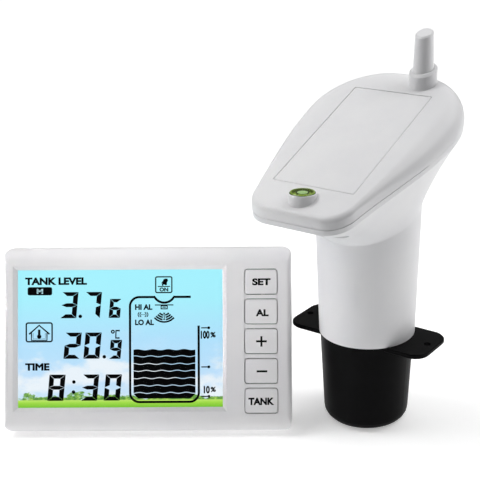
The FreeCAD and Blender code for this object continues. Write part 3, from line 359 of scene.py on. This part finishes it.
def displayPicture(name, look):
    # a plain printed outdoor scene behind the segments: sky, soft clouds, a hedge and a lawn
    finish = Finish(name)
    centre = middle("lcd_glass")
    tall = display["tall"] * millimetre
    up = finish.along(upFace, centre) / tall + 0.5
    side = finish.along(across, centre) / tall
    flat = finish.node("ShaderNodeCombineXYZ", {},
                       {"X": side, "Y": up * look["flatten"], "Z": look["slice"]})
    wisps = finish.noise(look["hazeScale"], detail=4.0, roughness=0.6, at=flat)
    haze = wisps.within(*look["hazeFrom"]) * look["hazeShare"] * up.within(*look["hazeFade"])
    puffs = finish.noise(look["cloudScale"], detail=5.0, roughness=0.55, at=flat)
    lowBand = 1 - abs(up - look["cloudHeight"]) / look["cloudBand"]
    gathered = puffs + lowBand * look["cloudGather"]
    cloud = gathered.within(*look["cloudFrom"]) * up.within(*look["cloudFade"])
    picture = finish.blend(haze, finish.ramp(up, look["sky"]), look["haze"])
    picture = finish.blend(cloud * look["cloudShare"], picture, look["cloud"])
    ridge = finish.noise(look["hedgeScale"], detail=4.0, roughness=0.6, at=flat)
    top = look["hedgeTop"] + (ridge - 0.5) * look["hedgeUneven"]
    leaves = finish.noise(look["leafScale"], detail=4.0, roughness=0.65, at=flat)
    hedge = finish.ramp(leaves, look["hedge"])
    picture = finish.blend((top - up).within(*look["hedgeEdge"]), picture, hedge)
    lawn = finish.ramp(up / look["lawnTop"], look["lawn"])
    picture = finish.blend(up.within(*look["lawnEdge"]), picture, lawn)
    return finish.surface(Base_Color=look["glass"], Roughness=look["roughness"], Emission_Color=picture,
                          Emission_Strength=look["glow"])


inkLook = {"grainScale": 2600.0, "thinnest": 0.85, "roughness": 0.55, "shine": 0.02}


def inkFinish(name, colour):
    # matt print, a little thinner in specks
    finish = Finish(name)
    thin = tuple(inkLook["thinnest"] * part for part in colour[:3]) + (1.0,)
    tone = finish.blend(finish.noise(inkLook["grainScale"]), colour, thin)
    return finish.surface(Base_Color=tone, Roughness=inkLook["roughness"],
                          Specular_IOR_Level=inkLook["shine"])


finishes = {
    "white_plastic": mouldedPlastic("sensorWhite", whitePlasticLook),
    "case_white": mouldedPlastic("caseWhite", caseWhiteLook),
    "key_plastic": mouldedPlastic("keyWhite", keyPlasticLook),
    "black_plastic": mouldedPlastic("baseBlack", blackPlasticLook),
    "transducer_can": workedMetal("transducerCan", canLook),
    "black_rubber": mouldedPlastic("softRubber", rubberLook),
    "screw_steel": workedMetal("screwSteel", steelLook),
    "contact_metal": workedMetal("contactMetal", contactLook),
    "board_laminate": boardLaminate("boardLaminate", boardLook),
    "shield_metal": workedMetal("shieldMetal", shieldLook),
    "ferrite": mouldedPlastic("ferriteGrey", ferriteLook),
    "lead_insulation": mouldedPlastic("leadRed", leadLook),
    "antenna_metal": workedMetal("antennaBrass", rodLook),
    "vial_clear": vialShell("vialClear", vialLook),
    "vial_fluid": vialFluid("vialGreen", fluidLook),
    "window_clear": clearWindow("windowClear", windowLook),
    "display_glass": displayPicture("displayPicture", pictureLook),
    "light_guide": mouldedPlastic("lightGuide", guideLook),
    "strip_rubber": mouldedPlastic("stripRubber", stripLook),
    "switch_plastic": mouldedPlastic("switchGrey", switchLook),
}
ink = inkFinish("displayInk", linear(2, 2, 3))
paleInk = inkFinish("displayPaleInk", linear(196, 238, 246))
keyInk = inkFinish("keyInk", linear(20, 20, 22))
# painted shade: the dark ring round the level's bubble
bubbleRimShade = inkFinish("bubbleShadeRim", linear(22, 34, 12))
paleBubble = inkFinish("bubblePale", linear(168, 204, 140))

caseNodes = ("console_front", "console_rear", "console_battery_door", "console_stand")
for name, node in nodes.items():
    slotName = node.data.materials[0].name.split(".")[0]
    node.data.materials.clear()
    if name in cellSets:
        node.data.materials.append(cellWrap(name, cellLook))
    elif name in caseNodes:
        node.data.materials.append(finishes["case_white"])
    else:
        node.data.materials.append(finishes[slotName])
print("finishes set on", len(nodes), "nodes")


# lines and words are rounded bodies, of which this share of the height is kept
relief = {"line": 0.02, "words": 0.1}
# closeness in millimetres: points in one place, points to merge, points in the drawing plane
close = {"place": 1e-4, "merge": 1e-5, "plane": 1e-7}
facingOut = 0.999  # least upright part of a flat face's normal
digitCore = 0.2  # share of a digit's size that counts as its middle


class Drawing:
    # flat drawing in millimetres, gathered in one mesh
    def __init__(self):
        self.bm = bmesh.new()

    def addMesh(self, mesh, matrix):
        mesh.transform(matrix)
        self.bm.from_mesh(mesh)
        bpy.data.meshes.remove(mesh)

    def plate(self, x0, x1, y0, y1, corner=0.0):
        made = bmesh.ops.create_grid(self.bm, x_segments=1, y_segments=1, size=0.5)["verts"]
        bmesh.ops.scale(self.bm, vec=(x1 - x0, y1 - y0, 1), verts=made)
        bmesh.ops.translate(self.bm, vec=((x0 + x1) / 2, (y0 + y1) / 2, 0), verts=made)
        if corner:
            made = bmesh.ops.bevel(self.bm, geom=made, offset=corner, segments=5, profile=0.5,
                                   material=-1, affect="VERTICES")["verts"]
        return made[0].link_faces[0]

    def outline(self, x0, x1, y0, y1, corner, stroke):
        self.hollow(self.plate(x0, x1, y0, y1, corner), stroke)

    def hollow(self, face, stroke):
        bmesh.ops.inset_region(self.bm, faces=[face], thickness=stroke, use_boundary=True,
                               use_even_offset=True)
        bmesh.ops.delete(self.bm, geom=[face], context="FACES")

    def dot(self, x, y, radius, segments=20):
        made = bmesh.ops.create_circle(self.bm, cap_ends=True, segments=segments, radius=radius,
                                       matrix=Matrix.Translation((x, y, 0)))["verts"]
        return made[0].link_faces[0]

    def ring(self, x, y, radius, stroke, segments=48):
        self.hollow(self.dot(x, y, radius, segments), stroke)

    def field(self, corners):
        # filled outline
        curve = bpy.data.curves.new("field", "CURVE")
        curve.dimensions = "2D"
        curve.fill_mode = "BOTH"
        self.run(curve, corners, True)
        self.addMesh(self.meshOf(curve), Matrix.Identity(4))

    def line(self, points, width):
        # a flattened tube along the points, so that its corners are joined
        curve = bpy.data.curves.new("line", "CURVE")
        curve.dimensions = "3D"
        curve.bevel_depth = width / 2
        curve.bevel_resolution = 1
        curve.use_fill_caps = True
        self.run(curve, points, False)
        self.addMesh(self.meshOf(curve), Matrix.Scale(relief["line"], 4, (0, 0, 1)))

    def run(self, curve, points, closed):
        spline = curve.splines.new("POLY")
        spline.points.add(len(points) - 1)
        for spot, (x, y) in zip(spline.points, points):
            spot.co = (x, y, 0, 1)
        spline.use_cyclic_u = closed

    def words(self, text, x0, x1, y0, y1, weight):
        # lettering made heavier by a bevel round its outline, then flattened and stretched to fill a box
        curve = bpy.data.curves.new("words", "FONT")
        curve.body = text
        curve.bevel_depth = weight
        curve.bevel_resolution = 0
        mesh = self.meshOf(curve)
        xs = [vertex.co.x for vertex in mesh.vertices]
        ys = [vertex.co.y for vertex in mesh.vertices]
        wide = (x1 - x0) / (max(xs) - min(xs))
        tall = (y1 - y0) / (max(ys) - min(ys))
        fit = Matrix.Translation((x0 - min(xs) * wide, y0 - min(ys) * tall, 0))
        fit = fit @ Matrix.Diagonal((wide, tall, relief["words"] * tall, 1))
        self.addMesh(mesh, fit)

    def meshOf(self, curve):
        holder = bpy.data.objects.new("holder", curve)
        scene.collection.objects.link(holder)
        bpy.context.view_layer.update()
        shaped = holder.evaluated_get(bpy.context.evaluated_depsgraph_get())
        mesh = bpy.data.meshes.new_from_object(shaped)
        bpy.data.objects.remove(holder)
        bpy.data.curves.remove(curve)
        return mesh

    def digit(self, lit, x, y, size):
        # seven segments, each the mitred side of one of two stacked cells, numbered from the top
        # round to the right: 0 top, 1 and 2 right, 3 bottom, 4 and 5 left, 6 middle
        part = bmesh.new()
        stroke, swell = size["stroke"], size["swell"]
        bmesh.ops.create_grid(part, x_segments=1, y_segments=2, size=0.5)
        bmesh.ops.scale(part, vec=(size["wide"] / swell, size["tall"], 1), verts=part.verts)
        cells = part.faces[:]
        bmesh.ops.inset_individual(part, faces=cells, thickness=stroke, use_even_offset=True)
        for vertex in part.verts:  # the two halves of the middle segment get half the stroke each
            if abs(abs(vertex.co.y) - stroke) < close["place"]:
                vertex.co.y *= 0.5
        bmesh.ops.delete(part, geom=cells, context="FACES")
        inner = [edge for edge in part.edges
                 if abs(edge.verts[0].co.y) + abs(edge.verts[1].co.y) < close["place"]]
        bmesh.ops.dissolve_edges(part, edges=inner)
        bmesh.ops.scale(part, vec=(swell, 1, 1), verts=part.verts)
        dark = [face for face in part.faces if self.segmentOf(face, size) not in lit]
        bmesh.ops.delete(part, geom=dark, context="FACES")
        rims = bmesh.ops.inset_individual(part, faces=part.faces[:], thickness=size["gap"])["faces"]
        bmesh.ops.delete(part, geom=rims, context="FACES")
        lean = Matrix.Identity(4)
        lean[0][1] = size["lean"]
        mesh = bpy.data.meshes.new("digit")
        part.to_mesh(mesh)
        part.free()
        self.addMesh(mesh, Matrix.Translation((x, y, 0)) @ lean)

    def segmentOf(self, face, size):
        centre = face.calc_center_median()
        if abs(centre.x) < size["wide"] * digitCore:
            return 6 if abs(centre.y) < size["tall"] * digitCore else (0 if centre.y > 0 else 3)
        if centre.x > 0:
            return 1 if centre.y > 0 else 2
        return 5 if centre.y > 0 else 4

    def finish(self, name, matrix, thickness, material, body, slot):
        # flat faces get the thickness; lines and words already have theirs
        bmesh.ops.remove_doubles(self.bm, verts=self.bm.verts, dist=close["merge"])
        flat = [face for face in self.bm.faces if abs(face.normal.z) > facingOut
                and all(abs(vertex.co.z) < close["plane"] for vertex in face.verts)]
        bmesh.ops.recalc_face_normals(self.bm, faces=flat)
        down = [face for face in flat if face.normal.z < 0]
        bmesh.ops.reverse_faces(self.bm, faces=down)
        raised = bmesh.ops.extrude_face_region(self.bm, geom=flat, use_keep_orig=True)["geom"]
        bmesh.ops.translate(self.bm, vec=(0, 0, thickness),
                            verts=[part for part in raised if isinstance(part, bmesh.types.BMVert)])
        bmesh.ops.reverse_faces(self.bm, faces=flat)
        bmesh.ops.recalc_face_normals(self.bm, faces=self.bm.faces[:])
        bmesh.ops.transform(self.bm, matrix=matrix, verts=self.bm.verts)
        mesh = bpy.data.meshes.new(name)
        self.bm.to_mesh(mesh)
        self.bm.free()
        mesh.materials.append(material)
        piece = bpy.data.objects.new(name, mesh)
        scene.collection.objects.link(piece)
        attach(piece, body)


def arc(x, y, radius, first, last, steps):
    angles = [math.radians(first + (last - first) * i / steps) for i in range(steps + 1)]
    return [(x + radius * math.cos(a), y + radius * math.sin(a)) for a in angles]


# what the display shows, in millimetres from its upper left corner, y upwards
# a box is given as left, right, foot and top, then its corner's radius and its stroke
segmentsLit = {"0": (0, 1, 2, 3, 4, 5), "2": (0, 1, 6, 4, 3), "3": (0, 1, 6, 2, 3),
               "6": (0, 5, 6, 4, 3, 2), "7": (0, 1, 2), "8": (0, 1, 2, 3, 4, 5, 6), "9": (0, 1, 2, 3, 5, 6)}
# swell: how much heavier the upright strokes are than the level ones
bigDigit = {"wide": 7.75, "tall": 12.5, "stroke": 2.0, "gap": 0.09, "lean": 0.09, "swell": 1.22}
smallDigit = {"wide": 5.5, "tall": 9.1, "stroke": 1.75, "gap": 0.09, "lean": 0.09, "swell": 1.15}
readings = {
    "title": ("TANK LEVEL", 3.0, 32.5, -7.1, -3.5), "time": ("TIME", 3.0, 14.6, -47.8, -44.3),
    "unitPlate": (4.2, 15.9, -12.0, -8.1, 0.9),
    "digits": (("3", 24.1, -16.75, bigDigit), ("7", 35.3, -16.75, bigDigit), ("6", 45.9, -18.4, smallDigit),
               ("2", 25.6, -36.05, bigDigit), ("0", 35.1, -36.05, bigDigit), ("9", 46.1, -37.9, smallDigit),
               ("8", 17.9, -56.0, bigDigit), ("3", 33.9, -56.0, bigDigit), ("0", 44.7, -56.0, bigDigit)),
    "points": ((29.3, -22.1), (40.7, -41.4), (26.2, -53.3), (26.0, -58.1)), "pointRadius": 0.86,
    "degree": {"x": 44.8, "y": -29.5, "radius": 0.95, "stroke": 0.6, "segments": 20},
    "celsius": [(48.1, -29.0), (46.3, -29.0), (46.2, -32.5), (48.0, -32.5)], "celsiusStroke": 0.8,
}


def drawReadings(drawing):
    drawing.words(*readings["title"], display["weight"])
    drawing.plate(*readings["unitPlate"])
    for figure, x, y, size in readings["digits"]:
        drawing.digit(segmentsLit[figure], x, y, size)
    for x, y in readings["points"]:
        drawing.dot(x, y, readings["pointRadius"])
    drawing.ring(**readings["degree"])
    drawing.line(readings["celsius"], readings["celsiusStroke"])
    drawing.words(*readings["time"], display["weight"])


house = {"frame": (3.2, 16.2, -34.4, -24.8, 1.2, 0.7),
         "roof": [(4.9, -30.5), (9.7, -26.3), (14.6, -30.5)], "roofStroke": 0.75,
         "walls": [(6.0, -30.0), (6.0, -33.4), (13.4, -33.4), (13.4, -30.0)], "wallStroke": 0.62,
         "lining": [(6.8, -30.0), (6.8, -32.7), (12.6, -32.7), (12.6, -30.0)], "liningStroke": 0.22,
         "stem": [(9.7, -28.3), (9.7, -31.4)], "stemStroke": 1.15, "bulb": (9.7, -31.6, 1.05)}


def drawHouse(drawing):
    # room temperature: a house with a thermometer in it
    drawing.outline(*house["frame"])
    drawing.line(house["roof"], house["roofStroke"])
    drawing.line(house["walls"], house["wallStroke"])
    drawing.line(house["lining"], house["liningStroke"])
    drawing.line(house["stem"], house["stemStroke"])
    drawing.dot(*house["bulb"])


bell = {"frame": (65.0, 73.3, -11.3, -3.2, 1.0, 0.6),
        "cup": [(67.9, -6.5), (68.3, -6.1), (69.1, -4.7), (69.9, -4.3), (70.9, -4.4), (71.2, -5.3),
                (70.7, -6.1), (70.6, -7.3), (70.3, -7.6)],
        "clapper": (68.6, -7.3, 0.45), "rule": [(66.3, -8.1), (72.1, -8.1)], "ruleStroke": 0.45,
        "words": ("ON", 67.1, 71.3, -10.5, -8.6)}


def drawBell(drawing):
    # alarm: a tilted bell over a rule
    drawing.outline(*bell["frame"])
    drawing.field(bell["cup"])
    drawing.dot(*bell["clapper"])
    drawing.line(bell["rule"], bell["ruleStroke"])
    drawing.words(*bell["words"], display["weight"])


tank = {"left": 53.0, "right": 85.7, "top": -13.1, "foot": -63.0, "bend": 4.4, "stroke": 1.1,
        "lid": (64.4, 74.3, 82.0), "dip": (69.35, -10.5, 5.3, -28, -152, 14), "rightEnd": -26.8}


def drawTank(drawing):
    # one line from the lid, through its dip, round three corners and up the right wall
    left, right = tank["left"] + tank["bend"], tank["right"] - tank["bend"]
    top, foot = tank["top"] - tank["bend"], tank["foot"] + tank["bend"]
    dipLeft, dipRight, lidEnd = tank["lid"]
    outline = [(lidEnd, tank["top"]), (dipRight, tank["top"])] + arc(*tank["dip"])
    outline += [(dipLeft, tank["top"])]
    for x, y, turn in ((left, top, 90), (left, foot, 180), (right, foot, 270)):
        outline += arc(x, y, tank["bend"], turn, turn + 90, 10)
    drawing.line(outline + [(tank["right"], tank["rightEnd"])], tank["stroke"])


sounder = {"bar": [(64.9, -16.9), (73.7, -16.9)], "barStroke": 0.5,
           "can": (67.6, 71.0, -19.0, -17.0, 0.15, 0.5), "disc": (68.5, 70.1, -18.2, -17.7),
           "from": (69.3, -18.7), "echoes": (3.0, 4.1, 5.2, 6.3), "sides": ((-138, -99), (-81, -42)),
           "lowest": (-100, -80), "echoStroke": 0.8,
           "beam": ([(69.3, -20.8), (69.3, -23.8)], [(68.8, -20.8), (69.8, -20.8)],
                    [(68.8, -23.8), (69.8, -23.8)]), "beamStroke": 0.42}


def drawSounder(drawing):
    # transducer under the lid, with its echoes
    drawing.line(sounder["bar"], sounder["barStroke"])
    drawing.outline(*sounder["can"])
    drawing.plate(*sounder["disc"])
    for radius in sounder["echoes"]:
        for first, last in sounder["sides"]:
            drawing.line(arc(*sounder["from"], radius, first, last, 8), sounder["echoStroke"])
    drawing.line(arc(*sounder["from"], sounder["echoes"][-1], *sounder["lowest"], 4), sounder["echoStroke"])
    for stroke in sounder["beam"]:
        drawing.line(stroke, sounder["beamStroke"])


alarms = {"words": (("HI AL", 55.4, 63.7, -19.2, -16.5), ("LO AL", 55.4, 64.4, -26.5, -23.8)),
          "at": (59.2, -21.45), "arcs": (1.45, 2.35), "radius": 1.35, "opening": 55, "arcStroke": 0.45,
          "tick": (0.25, 0.75), "tickStroke": 0.5}


def drawAlarms(drawing):
    # the high and the low alarm, with a sounding mark between them
    for words in alarms["words"]:
        drawing.words(*words, display["weight"])
    x, y = alarms["at"]
    for side, turn in ((-1, 180), (1, 0)):
        for spread in alarms["arcs"]:
            drawing.line(arc(x + side * (spread - alarms["radius"]), y, alarms["radius"],
                             turn - alarms["opening"], turn + alarms["opening"], 6), alarms["arcStroke"])
        drawing.line([(x + side * tick, y) for tick in alarms["tick"]], alarms["tickStroke"])


levelScale = {"marks": (-27.9, -46.5, -60.5), "left": 86.9, "right": 90.6, "stroke": 0.55,
              "dotAt": 90.5, "dotRadius": 0.68,
              "words": (("100", 86.7, 90.9, -33.1, -29.3), ("%", 91.3, 93.8, -32.5, -29.9),
                        ("10", 88.0, 90.9, -59.1, -55.5), ("%", 91.3, 93.8, -58.4, -56.0))}


def drawScale(drawing):
    for y in levelScale["marks"]:
        drawing.line([(levelScale["left"], y), (levelScale["right"], y)], levelScale["stroke"])
        drawing.dot(levelScale["dotAt"], y, levelScale["dotRadius"])
    for words in levelScale["words"]:
        drawing.words(*words, display["weight"])


water = {"left": 54.6, "right": 84.1, "levels": (-38.0, -41.3, -44.9, -48.2, -51.7, -55.2, -58.7, -61.5),
         "gap": 0.32, "wave": 0.26, "length": 7.4, "shift": 0.9, "corner": 2.2, "steps": 60}


def ripple(x, index):
    turn = 2 * math.pi * (x - water["left"]) / water["length"] + water["shift"] * index
    return water["wave"] * math.sin(turn)


def drawWater(drawing):
    # the tank's contents as wavy bands, the lowest with cut corners
    wide = water["right"] - water["left"]
    bands = list(zip(water["levels"], water["levels"][1:]))
    for index, (top, foot) in enumerate(bands):
        strip = bmesh.ops.create_grid(drawing.bm, x_segments=water["steps"], y_segments=1, size=0.5)["verts"]
        for vertex in strip:
            x = water["left"] + (vertex.co.x + 0.5) * wide
            if vertex.co.y > 0:
                y = top - water["gap"] / 2 + ripple(x, index)
            elif index < len(bands) - 1:
                y = foot + water["gap"] / 2 + ripple(x, index + 1)
            else:
                toWall = min(x - water["left"], water["right"] - x)
                y = foot + water["gap"] / 2 + max(water["corner"] - toWall, 0)
            vertex.co = (x, y, 0)


displayCorner = (middle("lcd_glass") - inward * (display["glass"] / 2 + display["lift"]) * millimetre
                 - across * display["wide"] / 2 * millimetre + upFace * display["tall"] / 2 * millimetre)
displayPlace = place(displayCorner, across, upFace)
for pieceName, draw in (("displayReadings", drawReadings), ("displayHouse", drawHouse),
                        ("displayBell", drawBell), ("displayTank", drawTank),
                        ("displaySounder", drawSounder), ("displayAlarms", drawAlarms),
                        ("displayScale", drawScale), ("displayWater", drawWater)):
    drawing = Drawing()
    draw(drawing)
    drawing.finish(pieceName, displayPlace, display["ink"], ink, "units", "display_glass")

# the unit's letter, pale on its dark plate
unitMark = {"words": ("M", 8.5, 11.6, -11.3, -8.9), "lift": 0.004}
unitLetter = Drawing()
unitLetter.words(*unitMark["words"], display["weight"])
unitPlace = displayPlace @ Matrix.Translation((0, 0, display["ink"] + unitMark["lift"]))
unitLetter.finish("displayUnit", unitPlace, display["ink"] / 2, paleInk, "units", "display_glass")
print("display drawn")

# printing on the keys, in millimetres from the middle of each key
keyPrint = {
    "set_key": {"words": "SET", "box": (-4.15, 4.55, -1.7, 1.63)},
    "alarm_key": {"words": "AL", "box": (-2.55, 3.6, -2.3, 1.05)},
    "plus_key": {"bars": ((-2.45, 2.65, -0.55, 0.4), (-0.38, 0.57, -2.6, 2.4))},
    "minus_key": {"bars": ((-2.2, 2.8, -0.68, 0.27),)},
    "tank_key": {"words": "TANK", "box": (-6.2, 6.0, -2.05, 1.43)},
}
keyInkDepth = 0.02
keyInkWeight = 0.05
for keyName, prints in keyPrint.items():
    label = Drawing()
    if "words" in prints:
        label.words(prints["words"], *prints["box"], keyInkWeight)
    for bar in prints.get("bars", ()):
        label.plate(*bar)
    front = reach(keyName, inward)[0]
    onFace = middle(keyName)
    onFace += inward * (front - onFace.dot(inward))
    onFace += upFace * (sum(reach(keyName, upFace)) / 2 - onFace.dot(upFace))
    keyPlace = place(onFace, across, upFace)
    label.finish(keyName + "Print", keyPlace, keyInkDepth, keyInk, keyName, "key_plastic")
print("keys printed")

# bubble level: the bubble under the lid, with a dark edge of painted shade round it
level = {"bubble": 2.6, "edge": 0.6, "gap": 0.05, "aside": 0.3, "drop": 0.4, "thick": 0.04}
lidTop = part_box("level_vial")[1].z
lidMiddle = middle("level_vial")
bubblePlace = place(Vector((lidMiddle.x, lidMiddle.y, lidTop - level["drop"] * millimetre)),
                    Vector((1, 0, 0)), Vector((0, 1, 0)))
# painted shade: the dark ring round the bubble
bubbleShadeRim = Drawing()
bubbleShadeRim.ring(0, level["aside"], level["bubble"] + level["edge"] / 2, level["edge"])
bubbleShadeRim.finish("levelBubbleShadeRim", bubblePlace, level["thick"], bubbleRimShade, "units", "vial_fluid")
bubble = Drawing()
bubble.dot(0, level["aside"], level["bubble"] - level["edge"] / 2 - level["gap"])
bubble.finish("levelBubble", bubblePlace, level["thick"], paleBubble, "units", "vial_fluid")
print("bubble level filled")

# pale paper, whiter far away and greyer in front, with a glow of its own that keeps it even
stage = {"floorHalf": 6.0, "colour": linear(246, 246, 246), "frontColour": linear(205, 205, 206),
         "frontFrom": (0.055, 0.25), "frontGlow": (0.15, 0.15, 0.15, 1), "nearGlow": (0.38, 0.38, 0.38, 1),
         "farGlow": (0.5, 0.5, 0.5, 1), "farFrom": (0.3, 1.1), "roughness": 0.9, "surround": 0.03}
floorMesh = bmesh.new()
bmesh.ops.create_grid(floorMesh, x_segments=1, y_segments=1, size=stage["floorHalf"])
floorData = bpy.data.meshes.new("floor")
floorMesh.to_mesh(floorData)
floorMesh.free()
floor = bpy.data.objects.new("floor", floorData)
scene.collection.objects.link(floor)
paper = Finish("floorPaper")
away = paper.node("ShaderNodeVectorMath", {"operation": "LENGTH"}, {0: paper.position}, out="Value")
glow = paper.blend(away.within(*stage["farFrom"]), stage["nearGlow"], stage["farGlow"])
toFront = paper.along((0, -1, 0), (0, 0, 0)).within(*stage["frontFrom"])
floorData.materials.append(paper.surface(
    Base_Color=paper.blend(toFront, stage["colour"], stage["frontColour"]), Roughness=stage["roughness"],
    Emission_Color=paper.blend(toFront, glow, stage["frontGlow"]), Emission_Strength=1.0))

lights = {
    "overhead": {"at": (0.0, 2.0, 1.7), "aim": (0.0, 2.0, 0.0), "size": (4.2, 4.2), "power": 46.0},
    "topLeft": {"at": (-0.55, 0.0, 0.9), "aim": (0.03, 0.0, 0.1), "size": (0.5, 0.5), "power": 3.8},
    "topRight": {"at": (0.6, 0.0, 0.9), "aim": (0.03, 0.0, 0.1), "size": (0.5, 0.5), "power": 2.7},
    "leftSide": {"at": (-0.6, 0.02, 0.2), "aim": (0.06, 0.0, 0.13), "size": (0.16, 0.16), "power": 0.6},
    "rightBack": {"at": (0.85, 0.32, 0.3), "aim": (0.06, 0.0, 0.1), "size": (0.7, 0.6), "power": 0.9},
    "rightSide": {"at": (0.95, 0.0, 0.3), "aim": (0.06, 0.0, 0.1), "size": (0.4, 0.6), "power": 1.05},
    "consoleFill": {"at": (-0.6, -0.72, 0.27), "aim": (-0.052, 0.0, 0.075), "size": (0.08, 0.08),
                    "power": 0.031, "spread": 13.0},
}
for name, light in lights.items():
    data = bpy.data.lights.new(name, "AREA")
    data.shape = "RECTANGLE"
    data.size, data.size_y = light["size"]
    data.energy = light["power"]
    data.spread = math.radians(light.get("spread", 180.0))
    lamp = bpy.data.objects.new(name, data)
    lamp.location = light["at"]
    lamp.rotation_euler = (Vector(light["aim"]) - lamp.location).to_track_quat("-Z", "Y").to_euler()
    scene.collection.objects.link(lamp)

world = bpy.data.worlds.new("studio")
world.use_nodes = True
world.node_tree.nodes["Background"].inputs["Color"].default_value = (1, 1, 1, 1)
world.node_tree.nodes["Background"].inputs["Strength"].default_value = stage["surround"]
scene.world = world

# place in millimetres from the sensor's foot, angles in degrees, focal and centre in picture points
view = {"from": (-26.23, -447.24, 257.54), "pitch": 20.433, "roll": -0.33, "focal": 1022.5, "picture": 480.0,
        "centre": 312.0, "film": 36.0, "near": 0.01}
cameraData = bpy.data.cameras.new("camera")
cameraData.sensor_width = view["film"]
cameraData.lens = view["focal"] / view["picture"] * view["film"]
cameraData.shift_x = -(view["centre"] - view["picture"] / 2) / view["picture"]
cameraData.clip_start = view["near"]
camera = bpy.data.objects.new("camera", cameraData)
sensorFoot = middle("transducer")
camera.location = Vector((sensorFoot.x, sensorFoot.y, 0)) + Vector(view["from"]) * millimetre
pitchTurn = Matrix.Rotation(math.radians(90 - view["pitch"]), 3, "X")
rollTurn = Matrix.Rotation(math.radians(view["roll"]), 3, "Z")
camera.rotation_euler = (pitchTurn @ rollTurn).to_euler()
scene.collection.objects.link(camera)
scene.camera = camera
print("stage and camera set")
